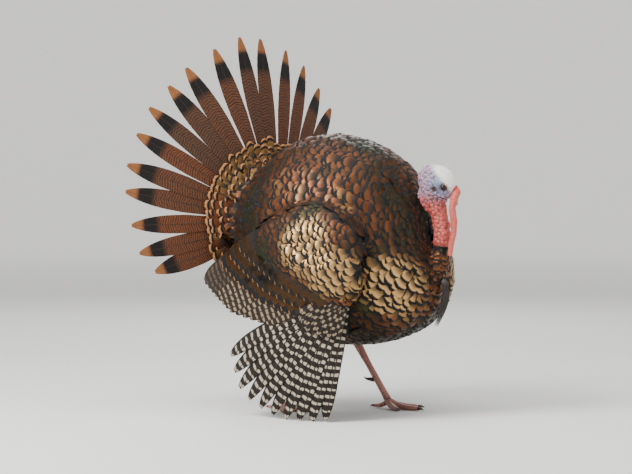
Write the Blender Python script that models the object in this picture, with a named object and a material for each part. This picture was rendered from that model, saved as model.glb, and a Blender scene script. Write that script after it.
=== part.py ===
"""Life-size wild turkey gobbler in full strut, as a still museum model.

The bird faces +X, its left side is +Y and it stands on z = 0. All lengths are metres.
The trunk, head, wings, tail and legs are closed solids that meet with a small gap. The wings
droop until their outer primaries brush the floor, and the tail stands up in a fan that is
turned a little to the bird's right.
"""
import math

import bmesh
import bpy
import numpy as np
from mathutils import Matrix, Vector

GAP = 0.0004                     # clearance between neighbouring solids
RIGHT, LEFT = -1, 1

# trunk: the side outline of the puffed plumage, clockwise from the top of the back
TRUNK_OUTLINE = [
    (0.00, 0.643), (0.112, 0.608), (0.180, 0.556), (0.230, 0.48), (0.254, 0.40), (0.273, 0.34),
    (0.276, 0.29), (0.252, 0.230), (0.185, 0.180), (0.08, 0.155), (-0.06, 0.162), (-0.17, 0.215),
    (-0.238, 0.30), (-0.262, 0.39), (-0.25, 0.475), (-0.20, 0.555), (-0.105, 0.624),
]
TRUNK_CENTRE = (0.01, 0.37)      # x and z that the outline shrinks to at the flanks
TRUNK_HALF_WIDTH = 0.205
TRUNK_FULLNESS = 2.3             # 2 is an ellipse from the front, more is squarer
TRUNK_POINTS, TRUNK_RINGS = 30, 11
BREAST_CUT, BREAST_PITCH = (0.11, 0, 0.35), math.radians(18)     # plane between breast and back
BELLY_CUT, BELLY_PITCH = (0.0, 0, 0.33), math.radians(96)        # plane between back and belly

# tail fan
TAIL_CENTRE = Vector((-0.175, 0.0, 0.430))
TAIL_RISE = math.radians(79)     # middle feathers above the horizontal
TAIL_TURN = math.radians(-12)    # fan turned to the bird's right
TAIL_FEATHERS = 22
TAIL_SPREAD = math.radians(212)  # from the outermost shaft to the other
TAIL_LENGTH, TAIL_OUTER_LENGTH = 0.437, 0.340
TAIL_CREST = 0.021               # how much longer still the middle pairs are
TAIL_ROOT = 0.085                # radius at which a feather leaves the rump
TAIL_WIDTH = 0.047
TAIL_BOWL = -0.02                # backward lean of the tips, times radius squared
TAIL_SWEEP = math.tan(math.radians(20))   # how far the two sides lean back
TAIL_LAYER = 0.0014              # step between one feather and the next in the stack
TAIL_THICKNESS = 0.0012          # at the shaft; the vane thins towards its edges
TAIL_STACK = TAIL_LAYER * TAIL_FEATHERS / 2   # from the middle pair to the outermost feather
TAIL_LIFT = 0.0028               # from a face of the stack to the coverts over it
COVERT_RADIUS, COVERT_THICKNESS = 0.168, 0.04
UNDER_COVERT_RADIUS, UNDER_COVERT_THICKNESS = 0.155, 0.04  # behind the fan

# wings, in the bird's x and z: each hangs as a sheet beside the flank
WING_OUT = 0.247                 # y of the sheet at its widest
WING_WIDEST = (0.03, 0.27)
WING_TURN_IN, WING_LEAN_IN = 0.8, 0.85
PRIMARIES, SECONDARIES = 10, 12
WING_RIGHT = {                   # dropped and spread, its outer primaries brushing the floor
    "shoulder": (0.170, 0.435), "elbow": (-0.035, 0.425), "wrist": (0.178, 0.297),
    "primary_angles": (math.radians(-101), math.radians(-154)),    # leading one, innermost
    "secondary_angles": (math.radians(-160), math.radians(-150)),  # at the wrist, at the elbow
}
WING_LEFT = {                    # carried higher and half closed
    "shoulder": (0.150, 0.430), "elbow": (-0.045, 0.400), "wrist": (0.112, 0.332),
    "primary_angles": (math.radians(-148), math.radians(-166)),
    "secondary_angles": (math.radians(-160), math.radians(-145)),
}
PRIMARY_LENGTHS = (0.300, 0.390, 0.375)                     # outermost, longest, innermost
PRIMARY_LONGEST = 0.75           # where the longest is between the outermost and the innermost
PRIMARY_WIDTH = 0.036
SECONDARY_LENGTHS = (0.235, 0.275, 0.258)                   # at the wrist, longest, at the elbow
SECONDARY_LONGEST = 0.4
QUILL_THICKNESS = 0.0035
ARM_BULGE = 0.026

# neck and head
NECK_PATH = [(0.258, 0, 0.318), (0.272, 0, 0.350), (0.277, 0, 0.385), (0.2795, 0, 0.415),
             (0.2735, 0, 0.448), (0.266, 0, 0.476), (0.257, -0.003, 0.503), (0.250, -0.005, 0.522)]
NECK_RADII = (0.027, 0.0225, 0.0170, 0.0178, 0.0165, 0.0195, 0.0245, 0.0260)
HEAD_CENTRE = Vector((0.267, 0.0, 0.532))
HEAD_YAW, HEAD_PITCH = math.radians(28), math.radians(40)
EYE_RADIUS = 0.0075
EYE_PLACE = (0.0185, 0.0212, 0.001)   # forward, sideways, up in the head
SNOOD_ROOT = [(0.036, 0, 0.013), (0.0475, -0.005, 0.011)]     # in the head, over the bill
SNOOD_HANG = [(0.3200, -0.018, 0.493), (0.3165, -0.018, 0.474), (0.3195, -0.015, 0.444),
              (0.3185, -0.014, 0.418), (0.3110, -0.013, 0.392), (0.3080, -0.013, 0.368)]
SNOOD_RADII = (0.0095, 0.0085, 0.0078, 0.0074, 0.0075, 0.0058, 0.0058, 0.0050)

BEARD_PATH = [(0.279, 0, 0.316), (0.289, 0, 0.302), (0.2905, 0, 0.275), (0.281, 0, 0.240), (0.263, 0, 0.205)]
BEARD_RADII = (0.005, 0.0085, 0.0095, 0.0095, 0.0045)

# legs: hock, toe joint, heading of the middle toe
LEG_RIGHT = {"hock": (-0.090, -0.090, 0.188), "joint": (-0.112, -0.088, 0.020), "heading": math.radians(-6)}
LEG_LEFT = {"hock": (-0.022, 0.088, 0.163), "joint": (0.077, 0.086, 0.020), "heading": math.radians(-4)}
SHANK_RADIUS = 0.0082
TOES = (("inner", 34, 0.066), ("middle", 0, 0.086), ("outer", -36, 0.068), ("hind", 172, 0.036))
TOE_RADIUS = 0.0078
CLAW_LENGTH = 0.016

COLOURS = {                       # base colour, roughness, metallic
    "plumage": ((0.075, 0.045, 0.026), 0.42, 0.35),
    "tail_feather": ((0.19, 0.105, 0.055), 0.55, 0.0),
    "tail_coverts": ((0.20, 0.085, 0.035), 0.5, 0.1),
    "wing_quill": ((0.30, 0.28, 0.25), 0.55, 0.0),
    "bare_skin": ((0.62, 0.22, 0.22), 0.5, 0.0),
    "crown_skin": ((0.50, 0.58, 0.68), 0.5, 0.0),
    "horn": ((0.42, 0.34, 0.24), 0.35, 0.0),
    "eye": ((0.03, 0.018, 0.012), 0.08, 0.0),
    "leg_scale": ((0.42, 0.22, 0.19), 0.5, 0.0),
    "beard": ((0.018, 0.016, 0.015), 0.45, 0.0),
}


# ---------------------------------------------------------------- scene and mesh helpers
def clear_scene():
    for obj in list(bpy.data.objects):
        bpy.data.objects.remove(obj)


def collection(name):
    made = bpy.data.collections.new(name)
    bpy.context.scene.collection.children.link(made)
    return made


def material(name):
    colour, roughness, metallic = COLOURS[name]
    made = bpy.data.materials.get(name) or bpy.data.materials.new(name)
    made.use_nodes = True
    shader = made.node_tree.nodes["Principled BSDF"]
    shader.inputs["Base Color"].default_value = (*colour, 1)
    shader.inputs["Roughness"].default_value = roughness
    shader.inputs["Metallic"].default_value = metallic
    return made


def mesh_object(name, points, faces, finish, where):
    """A mesh object with its faces turned outwards."""
    mesh = bpy.data.meshes.new(name)
    mesh.from_pydata([tuple(p) for p in points], [], faces)
    made = bmesh.new()
    made.from_mesh(mesh)
    bmesh.ops.recalc_face_normals(made, faces=made.faces)
    made.to_mesh(mesh)
    made.free()
    mesh.shade_smooth()
    mesh.set_sharp_from_angle(angle=math.radians(50))
    obj = bpy.data.objects.new(name, mesh)
    obj.data.materials.append(material(finish))
    where.objects.link(obj)
    return obj


def loft(name, rings, finish, where):
    """A closed skin over rings of equal length, with a flat cap at each end."""
    n = len(rings[0])
    faces = [
        (i * n + k, i * n + (k + 1) % n, (i + 1) * n + (k + 1) % n, (i + 1) * n + k)
        for i in range(len(rings) - 1)
        for k in range(n)
    ]
    faces.append(tuple(range(n)))
    faces.append(tuple(range((len(rings) - 1) * n, len(rings) * n)))
    return mesh_object(name, [p for ring in rings for p in ring], faces, finish, where)


def tube(name, path, radii, finish, where, sides=12, flatten=1.0):
    """A tube along a path with its own radius at each point, flattened sideways if asked."""
    path = [Vector(p) for p in path]
    rings = []
    across = Vector((0.01, -1, 0.02))
    for i, centre in enumerate(path):
        along = (path[min(i + 1, len(path) - 1)] - path[max(i - 1, 0)]).normalized()
        across = (across - along * across.dot(along)).normalized()
        upward = across.cross(along)
        turn = [2 * math.pi * k / sides for k in range(sides)]
        rings.append([
            centre + radii[i] * (math.cos(t) * flatten * across + math.sin(t) * upward) for t in turn
        ])
    return loft(name, rings, finish, where)


def boolean(obj, other, operation):
    cut = obj.modifiers.new(operation.lower() + "_" + other.name, "BOOLEAN")
    cut.operation = operation
    cut.object = other
    cut.solver = "EXACT"
    return cut


def hide(obj):
    obj.hide_render = True
    obj.display_type = "WIRE"


def as_mesh(obj):
    """The object's own modifiers made real, so that later cuts see its finished shape."""
    bpy.context.view_layer.update()
    graph = bpy.context.evaluated_depsgraph_get()
    made = bpy.data.meshes.new_from_object(obj.evaluated_get(graph), depsgraph=graph)
    obj.modifiers.clear()
    obj.data = made
    return obj


def make_room(obj, neighbour, cutters, gap=GAP):
    """Cuts obj back where the neighbour, grown by the gap, stands in it."""
    grown = bpy.data.objects.new("room_for_" + neighbour.name, neighbour.data.copy())
    cutters.objects.link(grown)
    shape = bmesh.new()
    shape.from_mesh(grown.data)
    bmesh.ops.recalc_face_normals(shape, faces=shape.faces)
    shape.normal_update()
    moves = [v.normal * gap for v in shape.verts]
    for vertex, move in zip(shape.verts, moves):
        vertex.co += move
    shape.to_mesh(grown.data)
    shape.free()
    hide(grown)
    return boolean(obj, grown, "DIFFERENCE")


# ---------------------------------------------------------------- shared shapes
def side_name(side):
    return "right" if side == RIGHT else "left"


def smooth_loop(points, count):
    """Evenly spaced points on a closed Catmull-Rom curve."""
    n, fine = len(points), []
    for i in range(n):
        p = [np.array(points[(i + k) % n], float) for k in (-1, 0, 1, 2)]
        for t in np.linspace(0, 1, 20, endpoint=False):
            fine.append(0.5 * (
                2 * p[1] + (p[2] - p[0]) * t + (2 * p[0] - 5 * p[1] + 4 * p[2] - p[3]) * t ** 2
                + (3 * p[1] - p[0] - 3 * p[2] + p[3]) * t ** 3))
    fine = np.array(fine + fine[:1])
    reach = np.concatenate([[0], np.cumsum(np.linalg.norm(np.diff(fine, axis=0), axis=1))])
    wanted = np.linspace(0, reach[-1], count, endpoint=False)
    return np.stack([np.interp(wanted, reach, fine[:, k]) for k in (0, 1)], axis=1)


def trunk_width_share(y_share):
    """How much of the side outline is left at this share of the half-width."""
    return (1 - abs(y_share) ** TRUNK_FULLNESS) ** (1 / TRUNK_FULLNESS)


def vane_share(s):
    """Half-width of a flight feather at a share s of its length: narrow quill, blunt tip."""
    grown = min(1.0, 0.40 + 1.5 * s) if s < 0.4 else 1.0
    tip = max(0.0, (s - 0.72) / 0.28)
    return grown * math.sqrt(max(0.0, 1 - tip ** 2.3))


def head_axes():
    """Forward, left and up of the head."""
    ahead = Vector((math.cos(HEAD_YAW), math.sin(HEAD_YAW), 0))
    forward = math.cos(HEAD_PITCH) * ahead - math.sin(HEAD_PITCH) * Vector((0, 0, 1))
    left = Vector((0, 0, 1)).cross(ahead)
    return forward, left, forward.cross(left)


def in_head(forward, left, up):
    axes = head_axes()
    return HEAD_CENTRE + forward * axes[0] + left * axes[1] + up * axes[2]


def head_ring(forward, half_width, above, below, drop=0.0, sides=14):
    """An egg-shaped section of the head, square to its forward axis."""
    ring = []
    for k in range(sides):
        t = 2 * math.pi * k / sides
        height = above if math.sin(t) > 0 else below
        ring.append(in_head(forward, half_width * math.cos(t), height * math.sin(t) - drop))
    return ring


# ---------------------------------------------------------------- trunk, neck and head
def trunk(where):
    outline = smooth_loop(TRUNK_OUTLINE, TRUNK_POINTS)
    centre = np.array(TRUNK_CENTRE)
    rings = []
    for angle in np.linspace(-0.47, 0.47, TRUNK_RINGS) * math.pi:
        y_share = math.sin(angle)
        size = trunk_width_share(y_share)
        rings.append([
            Vector((x, y_share * TRUNK_HALF_WIDTH, z))
            for x, z in centre + (outline - centre) * size
        ])
    return loft("trunk", rings, "plumage", where)


def half_space(name, place, pitch, cutters):
    """A big block ahead of a plane that faces +X before it is pitched about Y."""
    shape = bmesh.new()
    bmesh.ops.create_cube(shape, size=2.0)
    bmesh.ops.translate(shape, verts=shape.verts, vec=(1.0, 0, 0))
    mesh = bpy.data.meshes.new(name)
    turn = Matrix.Translation(place) @ Matrix.Rotation(pitch, 4, "Y")
    bmesh.ops.transform(shape, matrix=turn, verts=shape.verts)
    shape.to_mesh(mesh)
    shape.free()
    obj = bpy.data.objects.new(name, mesh)
    cutters.objects.link(obj)
    hide(obj)
    return obj


def split(body, plane, pitch, cutters, ahead_name, behind_name):
    """Parts a body in two with a thin cut; the piece ahead of the plane keeps the object."""
    other = bpy.data.objects.new(behind_name, body.data.copy())
    body.users_collection[0].objects.link(other)
    normal = Matrix.Rotation(pitch, 3, "Y") @ Vector((1, 0, 0))
    front = half_space(behind_name + "_ahead", Vector(plane) - normal * GAP / 2, pitch, cutters)
    back = half_space(behind_name + "_behind", Vector(plane) + normal * GAP / 2, pitch + math.pi, cutters)
    boolean(body, back, "DIFFERENCE")
    boolean(other, front, "DIFFERENCE")
    body.name = ahead_name
    return as_mesh(body), as_mesh(other)


def neck(where):
    return tube("neck", NECK_PATH, NECK_RADII, "bare_skin", where, sides=12)


def head(where):
    stations = [                  # forward, half-width, above, below
        (-0.044, 0.0095, 0.010, 0.012), (-0.039, 0.0175, 0.019, 0.022),
        (-0.028, 0.0240, 0.030, 0.032), (-0.012, 0.0278, 0.0375, 0.038),
        (0.004, 0.0285, 0.0400, 0.038), (0.019, 0.0262, 0.0375, 0.035),
        (0.030, 0.0225, 0.0305, 0.029), (0.038, 0.0170, 0.0215, 0.022),
        (0.042, 0.0125, 0.0140, 0.016),
    ]
    return loft("head", [head_ring(*station) for station in stations], "crown_skin", where)


def upper_bill(where):
    stations = [(0.0428, 0.0100, 0.0105, 0.0012, 0.000), (0.050, 0.0090, 0.0095, 0.0012, 0.002),
                (0.058, 0.0066, 0.0076, 0.0012, 0.0056), (0.064, 0.0040, 0.0052, 0.0012, 0.0094),
                (0.0675, 0.0014, 0.0024, 0.0014, 0.0128)]
    return loft("upper_bill", [head_ring(*s, sides=10) for s in stations], "horn", where)


def lower_bill(where):
    stations = [(0.0428, 0.0092, -0.0018, 0.0105, 0.000), (0.049, 0.0080, -0.0018, 0.0092, 0.002),
                (0.056, 0.0056, -0.0022, 0.0080, 0.0056), (0.0610, 0.0026, -0.0022, 0.0060, 0.0090)]
    rings = []
    for forward, half_width, above, below, drop in stations:
        middle, half = (above - below) / 2 - drop, (above + below) / 2
        turn = [2 * math.pi * k / 10 for k in range(10)]
        rings.append([in_head(forward, half_width * math.cos(t), middle + half * math.sin(t)) for t in turn])
    return loft("lower_bill", rings, "horn", where)


def eye(side, where):
    shape = bmesh.new()
    bmesh.ops.create_uvsphere(shape, u_segments=12, v_segments=6, radius=EYE_RADIUS)
    mesh = bpy.data.meshes.new("eye")
    shape.to_mesh(mesh)
    shape.free()
    mesh.shade_smooth()
    obj = bpy.data.objects.new("eye_" + side_name(side), mesh)
    obj.location = in_head(EYE_PLACE[0], side * EYE_PLACE[1], EYE_PLACE[2])
    obj.data.materials.append(material("eye"))
    where.objects.link(obj)
    return obj


def snood(where):
    """The fleshy finger that grows above the bill and hangs down past it."""
    path = [in_head(*p) for p in SNOOD_ROOT] + [Vector(p) for p in SNOOD_HANG]
    return tube("snood", path, SNOOD_RADII, "bare_skin", where, sides=10)


def beard(where):
    """The coarse breast bristles, as one tapering tassel."""
    return tube("beard", BEARD_PATH, BEARD_RADII, "beard", where, sides=8)


# ---------------------------------------------------------------- tail
def tail_axes():
    """Middle feather's direction, the bird's right and the fan's front, after its turn."""
    turn = Matrix.Rotation(TAIL_TURN, 3, "Z")
    middle = turn @ Vector((-math.cos(TAIL_RISE), 0, math.sin(TAIL_RISE)))
    right = turn @ Vector((0, -1, 0))
    return middle, right, right.cross(middle) * -1


def on_fan(along, across, height):
    """A point of the dished fan, from its coordinates in the fan's plane."""
    middle, right, front = tail_axes()
    bowl = TAIL_BOWL * (along ** 2 + across ** 2) - TAIL_SWEEP * (math.hypot(across, 0.15) - 0.15)
    return TAIL_CENTRE + along * middle + across * right + (height + bowl) * front


def tail_feather(index, where):
    """One tail feather. The middle pair lies in front and each outer one a layer behind."""
    share = index / (TAIL_FEATHERS - 1) - 0.5                # -0.5 is the bird's left edge
    angle = share * TAIL_SPREAD
    rank = abs(index - (TAIL_FEATHERS - 1) / 2) - 0.5         # 0 for the middle pair
    layer = -(rank + (share < 0)) * TAIL_LAYER
    outer = (2 * abs(share)) ** 2
    crest = TAIL_CREST * math.exp(-(share / 0.1) ** 2)
    length = TAIL_LENGTH + (TAIL_OUTER_LENGTH - TAIL_LENGTH) * outer + crest
    shaft = Vector((math.cos(angle), math.sin(angle)))
    across = Vector((-shaft.y, shaft.x))
    rings = []
    for s in (0.0, 0.25, 0.5, 0.76, 0.88, 0.95, 0.99):
        reach = TAIL_ROOT + (length - TAIL_ROOT) * s
        half = max(TAIL_WIDTH / 2 * vane_share(s), 0.003)
        ring = []
        for offset, face in ((-half, 0), (0, 1), (half, 0), (0, -1)):
            place = shaft * reach + across * offset
            ring.append(on_fan(place.x, place.y, layer + face * TAIL_THICKNESS / 2))
        rings.append(ring)
    return loft(f"tail_feather_{index + 1:02d}", rings, "tail_feather", where)


def fan_dish(name, reaches, low, high, finish, where, scallop=0.0):
    """A closed part-ring of the fan between two heights, given for each reach from the centre."""
    spread = TAIL_SPREAD / 2 + math.radians(4)
    columns, rows = 18, len(reaches)
    points = []
    for heights in (low, high):
        for i, reach in enumerate(reaches):
            for k, angle in enumerate(np.linspace(-spread, spread, columns + 1)):
                notch = 1 - scallop * (i == rows - 1) * (k % 2 == 0)
                points.append(on_fan(
                    reach * notch * math.cos(angle), reach * notch * math.sin(angle), heights[i]))
    n, layer = columns + 1, rows * (columns + 1)
    faces = []
    for k in range(columns):
        for i in range(rows - 1):
            under = (i * n + k, i * n + k + 1, (i + 1) * n + k + 1, (i + 1) * n + k)
            faces += [under, tuple(layer + c for c in reversed(under))]
        for i in (0, (rows - 1) * n):
            faces.append((i + k, i + k + 1, layer + i + k + 1, layer + i + k))
    for i in range(rows - 1):
        for k in (0, columns):
            a, b = i * n + k, (i + 1) * n + k
            faces.append((a, b, layer + b, layer + a))
    return mesh_object(name, points, faces, finish, where)


def covert_pad(name, front, radius, thickness, where):
    """The cushion of tail coverts on one face of the fan: +1 its front, -1 its back."""
    lift = TAIL_LIFT if front > 0 else -(TAIL_STACK + TAIL_LIFT)
    shares = (0.14, 0.45, 0.78, 1.0)
    low = [lift] * len(shares)
    high = [lift + front * (0.004 + thickness * (1 - s) ** 0.8 * s ** 0.25) for s in shares]
    return fan_dish(name, [radius * s for s in shares], low, high, "tail_coverts", where, scallop=0.07)


def tail_slot(cutters):
    """The room in the rump for the roots of the tail feathers."""
    reaches = (TAIL_ROOT - 0.008, 0.13, 0.2, 0.28)
    low, high = [-(TAIL_STACK + TAIL_LIFT)] * 4, [TAIL_LIFT] * 4
    slot = fan_dish("tail_slot", reaches, low, high, "tail_coverts", cutters)
    hide(slot)
    return slot


# ---------------------------------------------------------------- wings
def wing_y(x, z):
    """Distance of the hanging wing sheet from the midplane."""
    inward = WING_TURN_IN * (x - WING_WIDEST[0]) ** 2
    lean = WING_LEAN_IN * max(0.0, z - WING_WIDEST[1]) ** 2
    return WING_OUT - inward - lean


def sheet(name, side, grid, inner, outer, finish, where):
    """A closed sheet over a grid of (x, z), between two distances from the wing surface."""
    rows, columns = len(grid), len(grid[0])
    points = []
    for offset in (inner, outer):
        for i, row in enumerate(grid):
            for k, (x, z) in enumerate(row):
                y = wing_y(x, z) + (offset(i / (rows - 1), k / (columns - 1)) if callable(offset) else offset)
                points.append((x, side * y, z))
    layer = rows * columns
    faces = []
    for i in range(rows - 1):
        for k in range(columns - 1):
            low = (i * columns + k, i * columns + k + 1, (i + 1) * columns + k + 1, (i + 1) * columns + k)
            faces += [low, tuple(layer + c for c in reversed(low))]
    rim = [(i * columns, (i + 1) * columns) for i in range(rows - 1)]
    rim += [(i * columns + columns - 1, (i + 1) * columns + columns - 1) for i in range(rows - 1)]
    rim += [(k, k + 1) for k in range(columns - 1)]
    rim += [((rows - 1) * columns + k, (rows - 1) * columns + k + 1) for k in range(columns - 1)]
    faces += [(a, b, layer + b, layer + a) for a, b in rim]
    return mesh_object(name, points, faces, finish, where)


def beyond(root, angle, reach):
    return root[0] + reach * math.cos(angle), root[1] + reach * math.sin(angle)


def primary(wing, index):
    """Angle in the x-z plane and length of a primary: 0 is the leading one."""
    share = index / (PRIMARIES - 1)
    first, last = wing["primary_angles"]
    length = np.interp(share, (0, PRIMARY_LONGEST, 1), PRIMARY_LENGTHS)
    return first + (last - first) * share, float(length)


def primary_reach(wing, angle):
    """Radius of the fan of primaries in one direction, with a notch between two tips."""
    best = 0.0
    for index in range(PRIMARIES):
        centre, length = primary(wing, index)
        for s in np.linspace(1, 0.5, 26):
            if math.tan(abs(angle - centre)) * length * s <= PRIMARY_WIDTH / 2 * vane_share(s) + 0.0008:
                best = max(best, length * s)
                break
    return max(best, 0.12)


def primaries(side, wing, where):
    first, last = wing["primary_angles"]
    step = (last - first) / (PRIMARIES - 1)
    offsets = (-0.5, -0.2, 0.0, 0.2)
    angles = [first + step * (i + o) for i in range(PRIMARIES) for o in offsets]
    angles.append(last + step * 0.5)
    grid = [
        [beyond(wing["wrist"], angle, primary_reach(wing, angle) * share) for angle in angles]
        for share in (0.15, 0.55, 1.0)
    ]
    low = -2 * QUILL_THICKNESS - 4 * GAP
    name = f"wing_{side_name(side)}_primaries"
    return sheet(name, side, grid, low, low + QUILL_THICKNESS, "wing_quill", where)


def secondary(wing, share):
    """Root, angle and length of the secondary at a share of the way from wrist to elbow."""
    root = tuple(np.array(wing["wrist"]) * (1 - share) + np.array(wing["elbow"]) * share)
    first, last = wing["secondary_angles"]
    length = np.interp(share, (0, SECONDARY_LONGEST, 1), SECONDARY_LENGTHS)
    return root, first + (last - first) * share, float(length)


def secondaries(side, wing, where):
    columns = SECONDARIES * 2
    grid = []
    for row_share in (0.0, 0.35, 0.7, 1.0):
        row = []
        for k in range(columns + 1):
            root, angle, length = secondary(wing, k / columns)
            notch = 0.05 * row_share * (k % 2 == 0)
            row.append(beyond(root, angle, length * row_share * (1 - notch)))
        grid.append(row)
    name = f"wing_{side_name(side)}_secondaries"
    return sheet(name, side, grid, -QUILL_THICKNESS, 0.0, "wing_quill", where)


def arm_depth(z):
    """How far the arm reaches inwards from the wing sheet: into the flank at the shoulder."""
    return 0.004 + 0.055 * min(1.0, max(0.0, (z - 0.33) / 0.09))


def wing_arm(side, wing, where):
    """Upper arm and forearm under their coverts: a cushion over the roots of the quills."""
    shoulder, elbow, wrist = (np.array(wing[joint]) for joint in ("shoulder", "elbow", "wrist"))
    middle = (shoulder + elbow + wrist) / 3
    low = (elbow + wrist) / 2
    outline = smooth_loop([
        shoulder + (0.012, -0.01), shoulder + (-0.055, 0.045), shoulder + (-0.14, 0.05),
        elbow + (-0.045, 0.012), elbow + (-0.05, -0.055), low + (-0.03, -0.05),
        wrist + (-0.03, -0.04), wrist + (0.022, -0.018), wrist + (0.03, 0.04)], 18)
    shares = (0.45, 0.85, 1.0)
    rings = []
    for face, share in [(True, s) for s in shares] + [(False, s) for s in reversed(shares)]:
        ring = []
        for x, z in middle + (outline - middle) * share:
            offset = ARM_BULGE * (1 - share ** 2.2) + 0.004 if face else -arm_depth(z)
            ring.append(Vector((x, side * (wing_y(x, z) + offset), z)))
        rings.append(ring)
    return loft(f"wing_{side_name(side)}_arm", rings, "plumage", where)


# ---------------------------------------------------------------- legs
def thigh(side, leg, where):
    """The feathered drumstick, from inside the flank to the hock."""
    hock = Vector(leg["hock"])
    top = hock + Vector((0.045, side * 0.012, 0.115))
    path = [top, top.lerp(hock, 0.45), top.lerp(hock, 0.8), hock + Vector((0, 0, 0.004))]
    return tube("thigh_" + side_name(side), path, (0.050, 0.042, 0.026, 0.0135), "plumage", where, sides=14)


def shank(side, leg, where):
    hock, joint = Vector(leg["hock"]), Vector(leg["joint"])
    along = (joint - hock).normalized()
    path = [hock - along * 0.006, hock + along * 0.012, hock.lerp(joint, 0.45), joint - along * 0.022,
            joint - along * 0.004]
    radii = [SHANK_RADIUS * k for k in (1.25, 1.3, 0.92, 0.98, 1.15)]
    return tube("shank_" + side_name(side), path, radii, "leg_scale", where, sides=10)


def spur(side, leg, where):
    """The gobbler's spur, on the inner back of the shank."""
    hock, joint = Vector(leg["hock"]), Vector(leg["joint"])
    root = hock.lerp(joint, 0.66) + Vector((-0.004, -side * 0.004, -0.003))
    lean = Vector((-0.82, -side * 0.35, 0.12)).normalized()
    path = [root + lean * reach for reach in (0.0, 0.010, 0.019, 0.0245)]
    path[3] += Vector((0, 0, 0.0035))
    return tube("spur_" + side_name(side), path, (0.0058, 0.0046, 0.0026, 0.0008), "horn", where, sides=8)


def toe_path(leg, bearing, length):
    """From the joint, down onto the floor and along it."""
    joint = Vector(leg["joint"])
    heading = leg["heading"] + math.radians(bearing)
    ahead = Vector((math.cos(heading), math.sin(heading), 0))
    floor = TOE_RADIUS * 0.80
    hind = abs(bearing) > 90
    heights = (joint.z - 0.001, 0.0105 if hind else floor + 0.003, floor, floor - 0.0008)
    shares = (0.0, 0.3, 0.62, 1.0)
    return [Vector((joint.x, joint.y, 0)) + ahead * length * s + Vector((0, 0, z))
            for s, z in zip(shares, heights)]


def foot(side, leg, where, cutters):
    """Four toes grown together at the joint, on a flat sole."""
    parts = []
    for name, bearing, length in TOES:
        path = toe_path(leg, bearing * -side, length)
        small = 0.78 if name == "hind" else 1.0
        radii = [TOE_RADIUS * small * k for k in (1.18, 1.0, 0.88, 0.62)]
        parts.append(tube(f"toe_{name}_{side_name(side)}", path, radii, "leg_scale", cutters, sides=8))
    body = parts[1]
    for other in parts:
        if other is not body:
            hide(other)
            boolean(body, other, "UNION")
    cutters.objects.unlink(body)
    where.objects.link(body)
    body.name = "foot_" + side_name(side)
    return body


def claw(side, leg, toe, where):
    name, bearing, length = toe
    path = toe_path(leg, bearing * -side, length)
    ahead = (path[3] - path[2]).normalized()
    root = path[3] + ahead * (GAP + 0.0002)
    small = 0.75 if name == "hind" else 1.0
    reach = CLAW_LENGTH * small
    centre = [root, root + ahead * 0.002, root + ahead * reach * 0.45 + Vector((0, 0, 0.0010)),
              root + ahead * reach * 0.78, root + ahead * reach + Vector((0, 0, -0.0026))]
    radii = [TOE_RADIUS * small * k for k in (0.60, 0.58, 0.46, 0.28, 0.09)]
    return tube(f"claw_{name}_{side_name(side)}", centre, radii, "horn", where, sides=6, flatten=0.8)


def ground_cutter(cutters):
    """Everything under the floor, which gives the soles and wing tips their flats."""
    shape = bmesh.new()
    bmesh.ops.create_cube(shape, size=2.0)
    mesh = bpy.data.meshes.new("below_floor")
    shape.to_mesh(mesh)
    shape.free()
    obj = bpy.data.objects.new("below_floor", mesh)
    obj.location = (0, 0, -1.0)
    cutters.objects.link(obj)
    hide(obj)
    return obj


def recentre(where):
    """Moves the whole bird so that the origin is under the middle of its bounding box."""
    bpy.context.view_layer.update()
    graph = bpy.context.evaluated_depsgraph_get()
    corners = []
    for obj in where.objects:
        seen = obj.evaluated_get(graph)
        mesh = seen.to_mesh()
        points = np.empty(len(mesh.vertices) * 3, np.float32)
        mesh.vertices.foreach_get("co", points)
        seen.to_mesh_clear()
        world = np.array(seen.matrix_world)
        points = points.reshape(-1, 3) @ world[:3, :3].T + world[:3, 3]
        corners += [points.min(axis=0), points.max(axis=0)]
    low, high = np.min(corners, axis=0), np.max(corners, axis=0)
    return Vector((-(low[0] + high[0]) / 2, -(low[1] + high[1]) / 2, 0))


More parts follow.
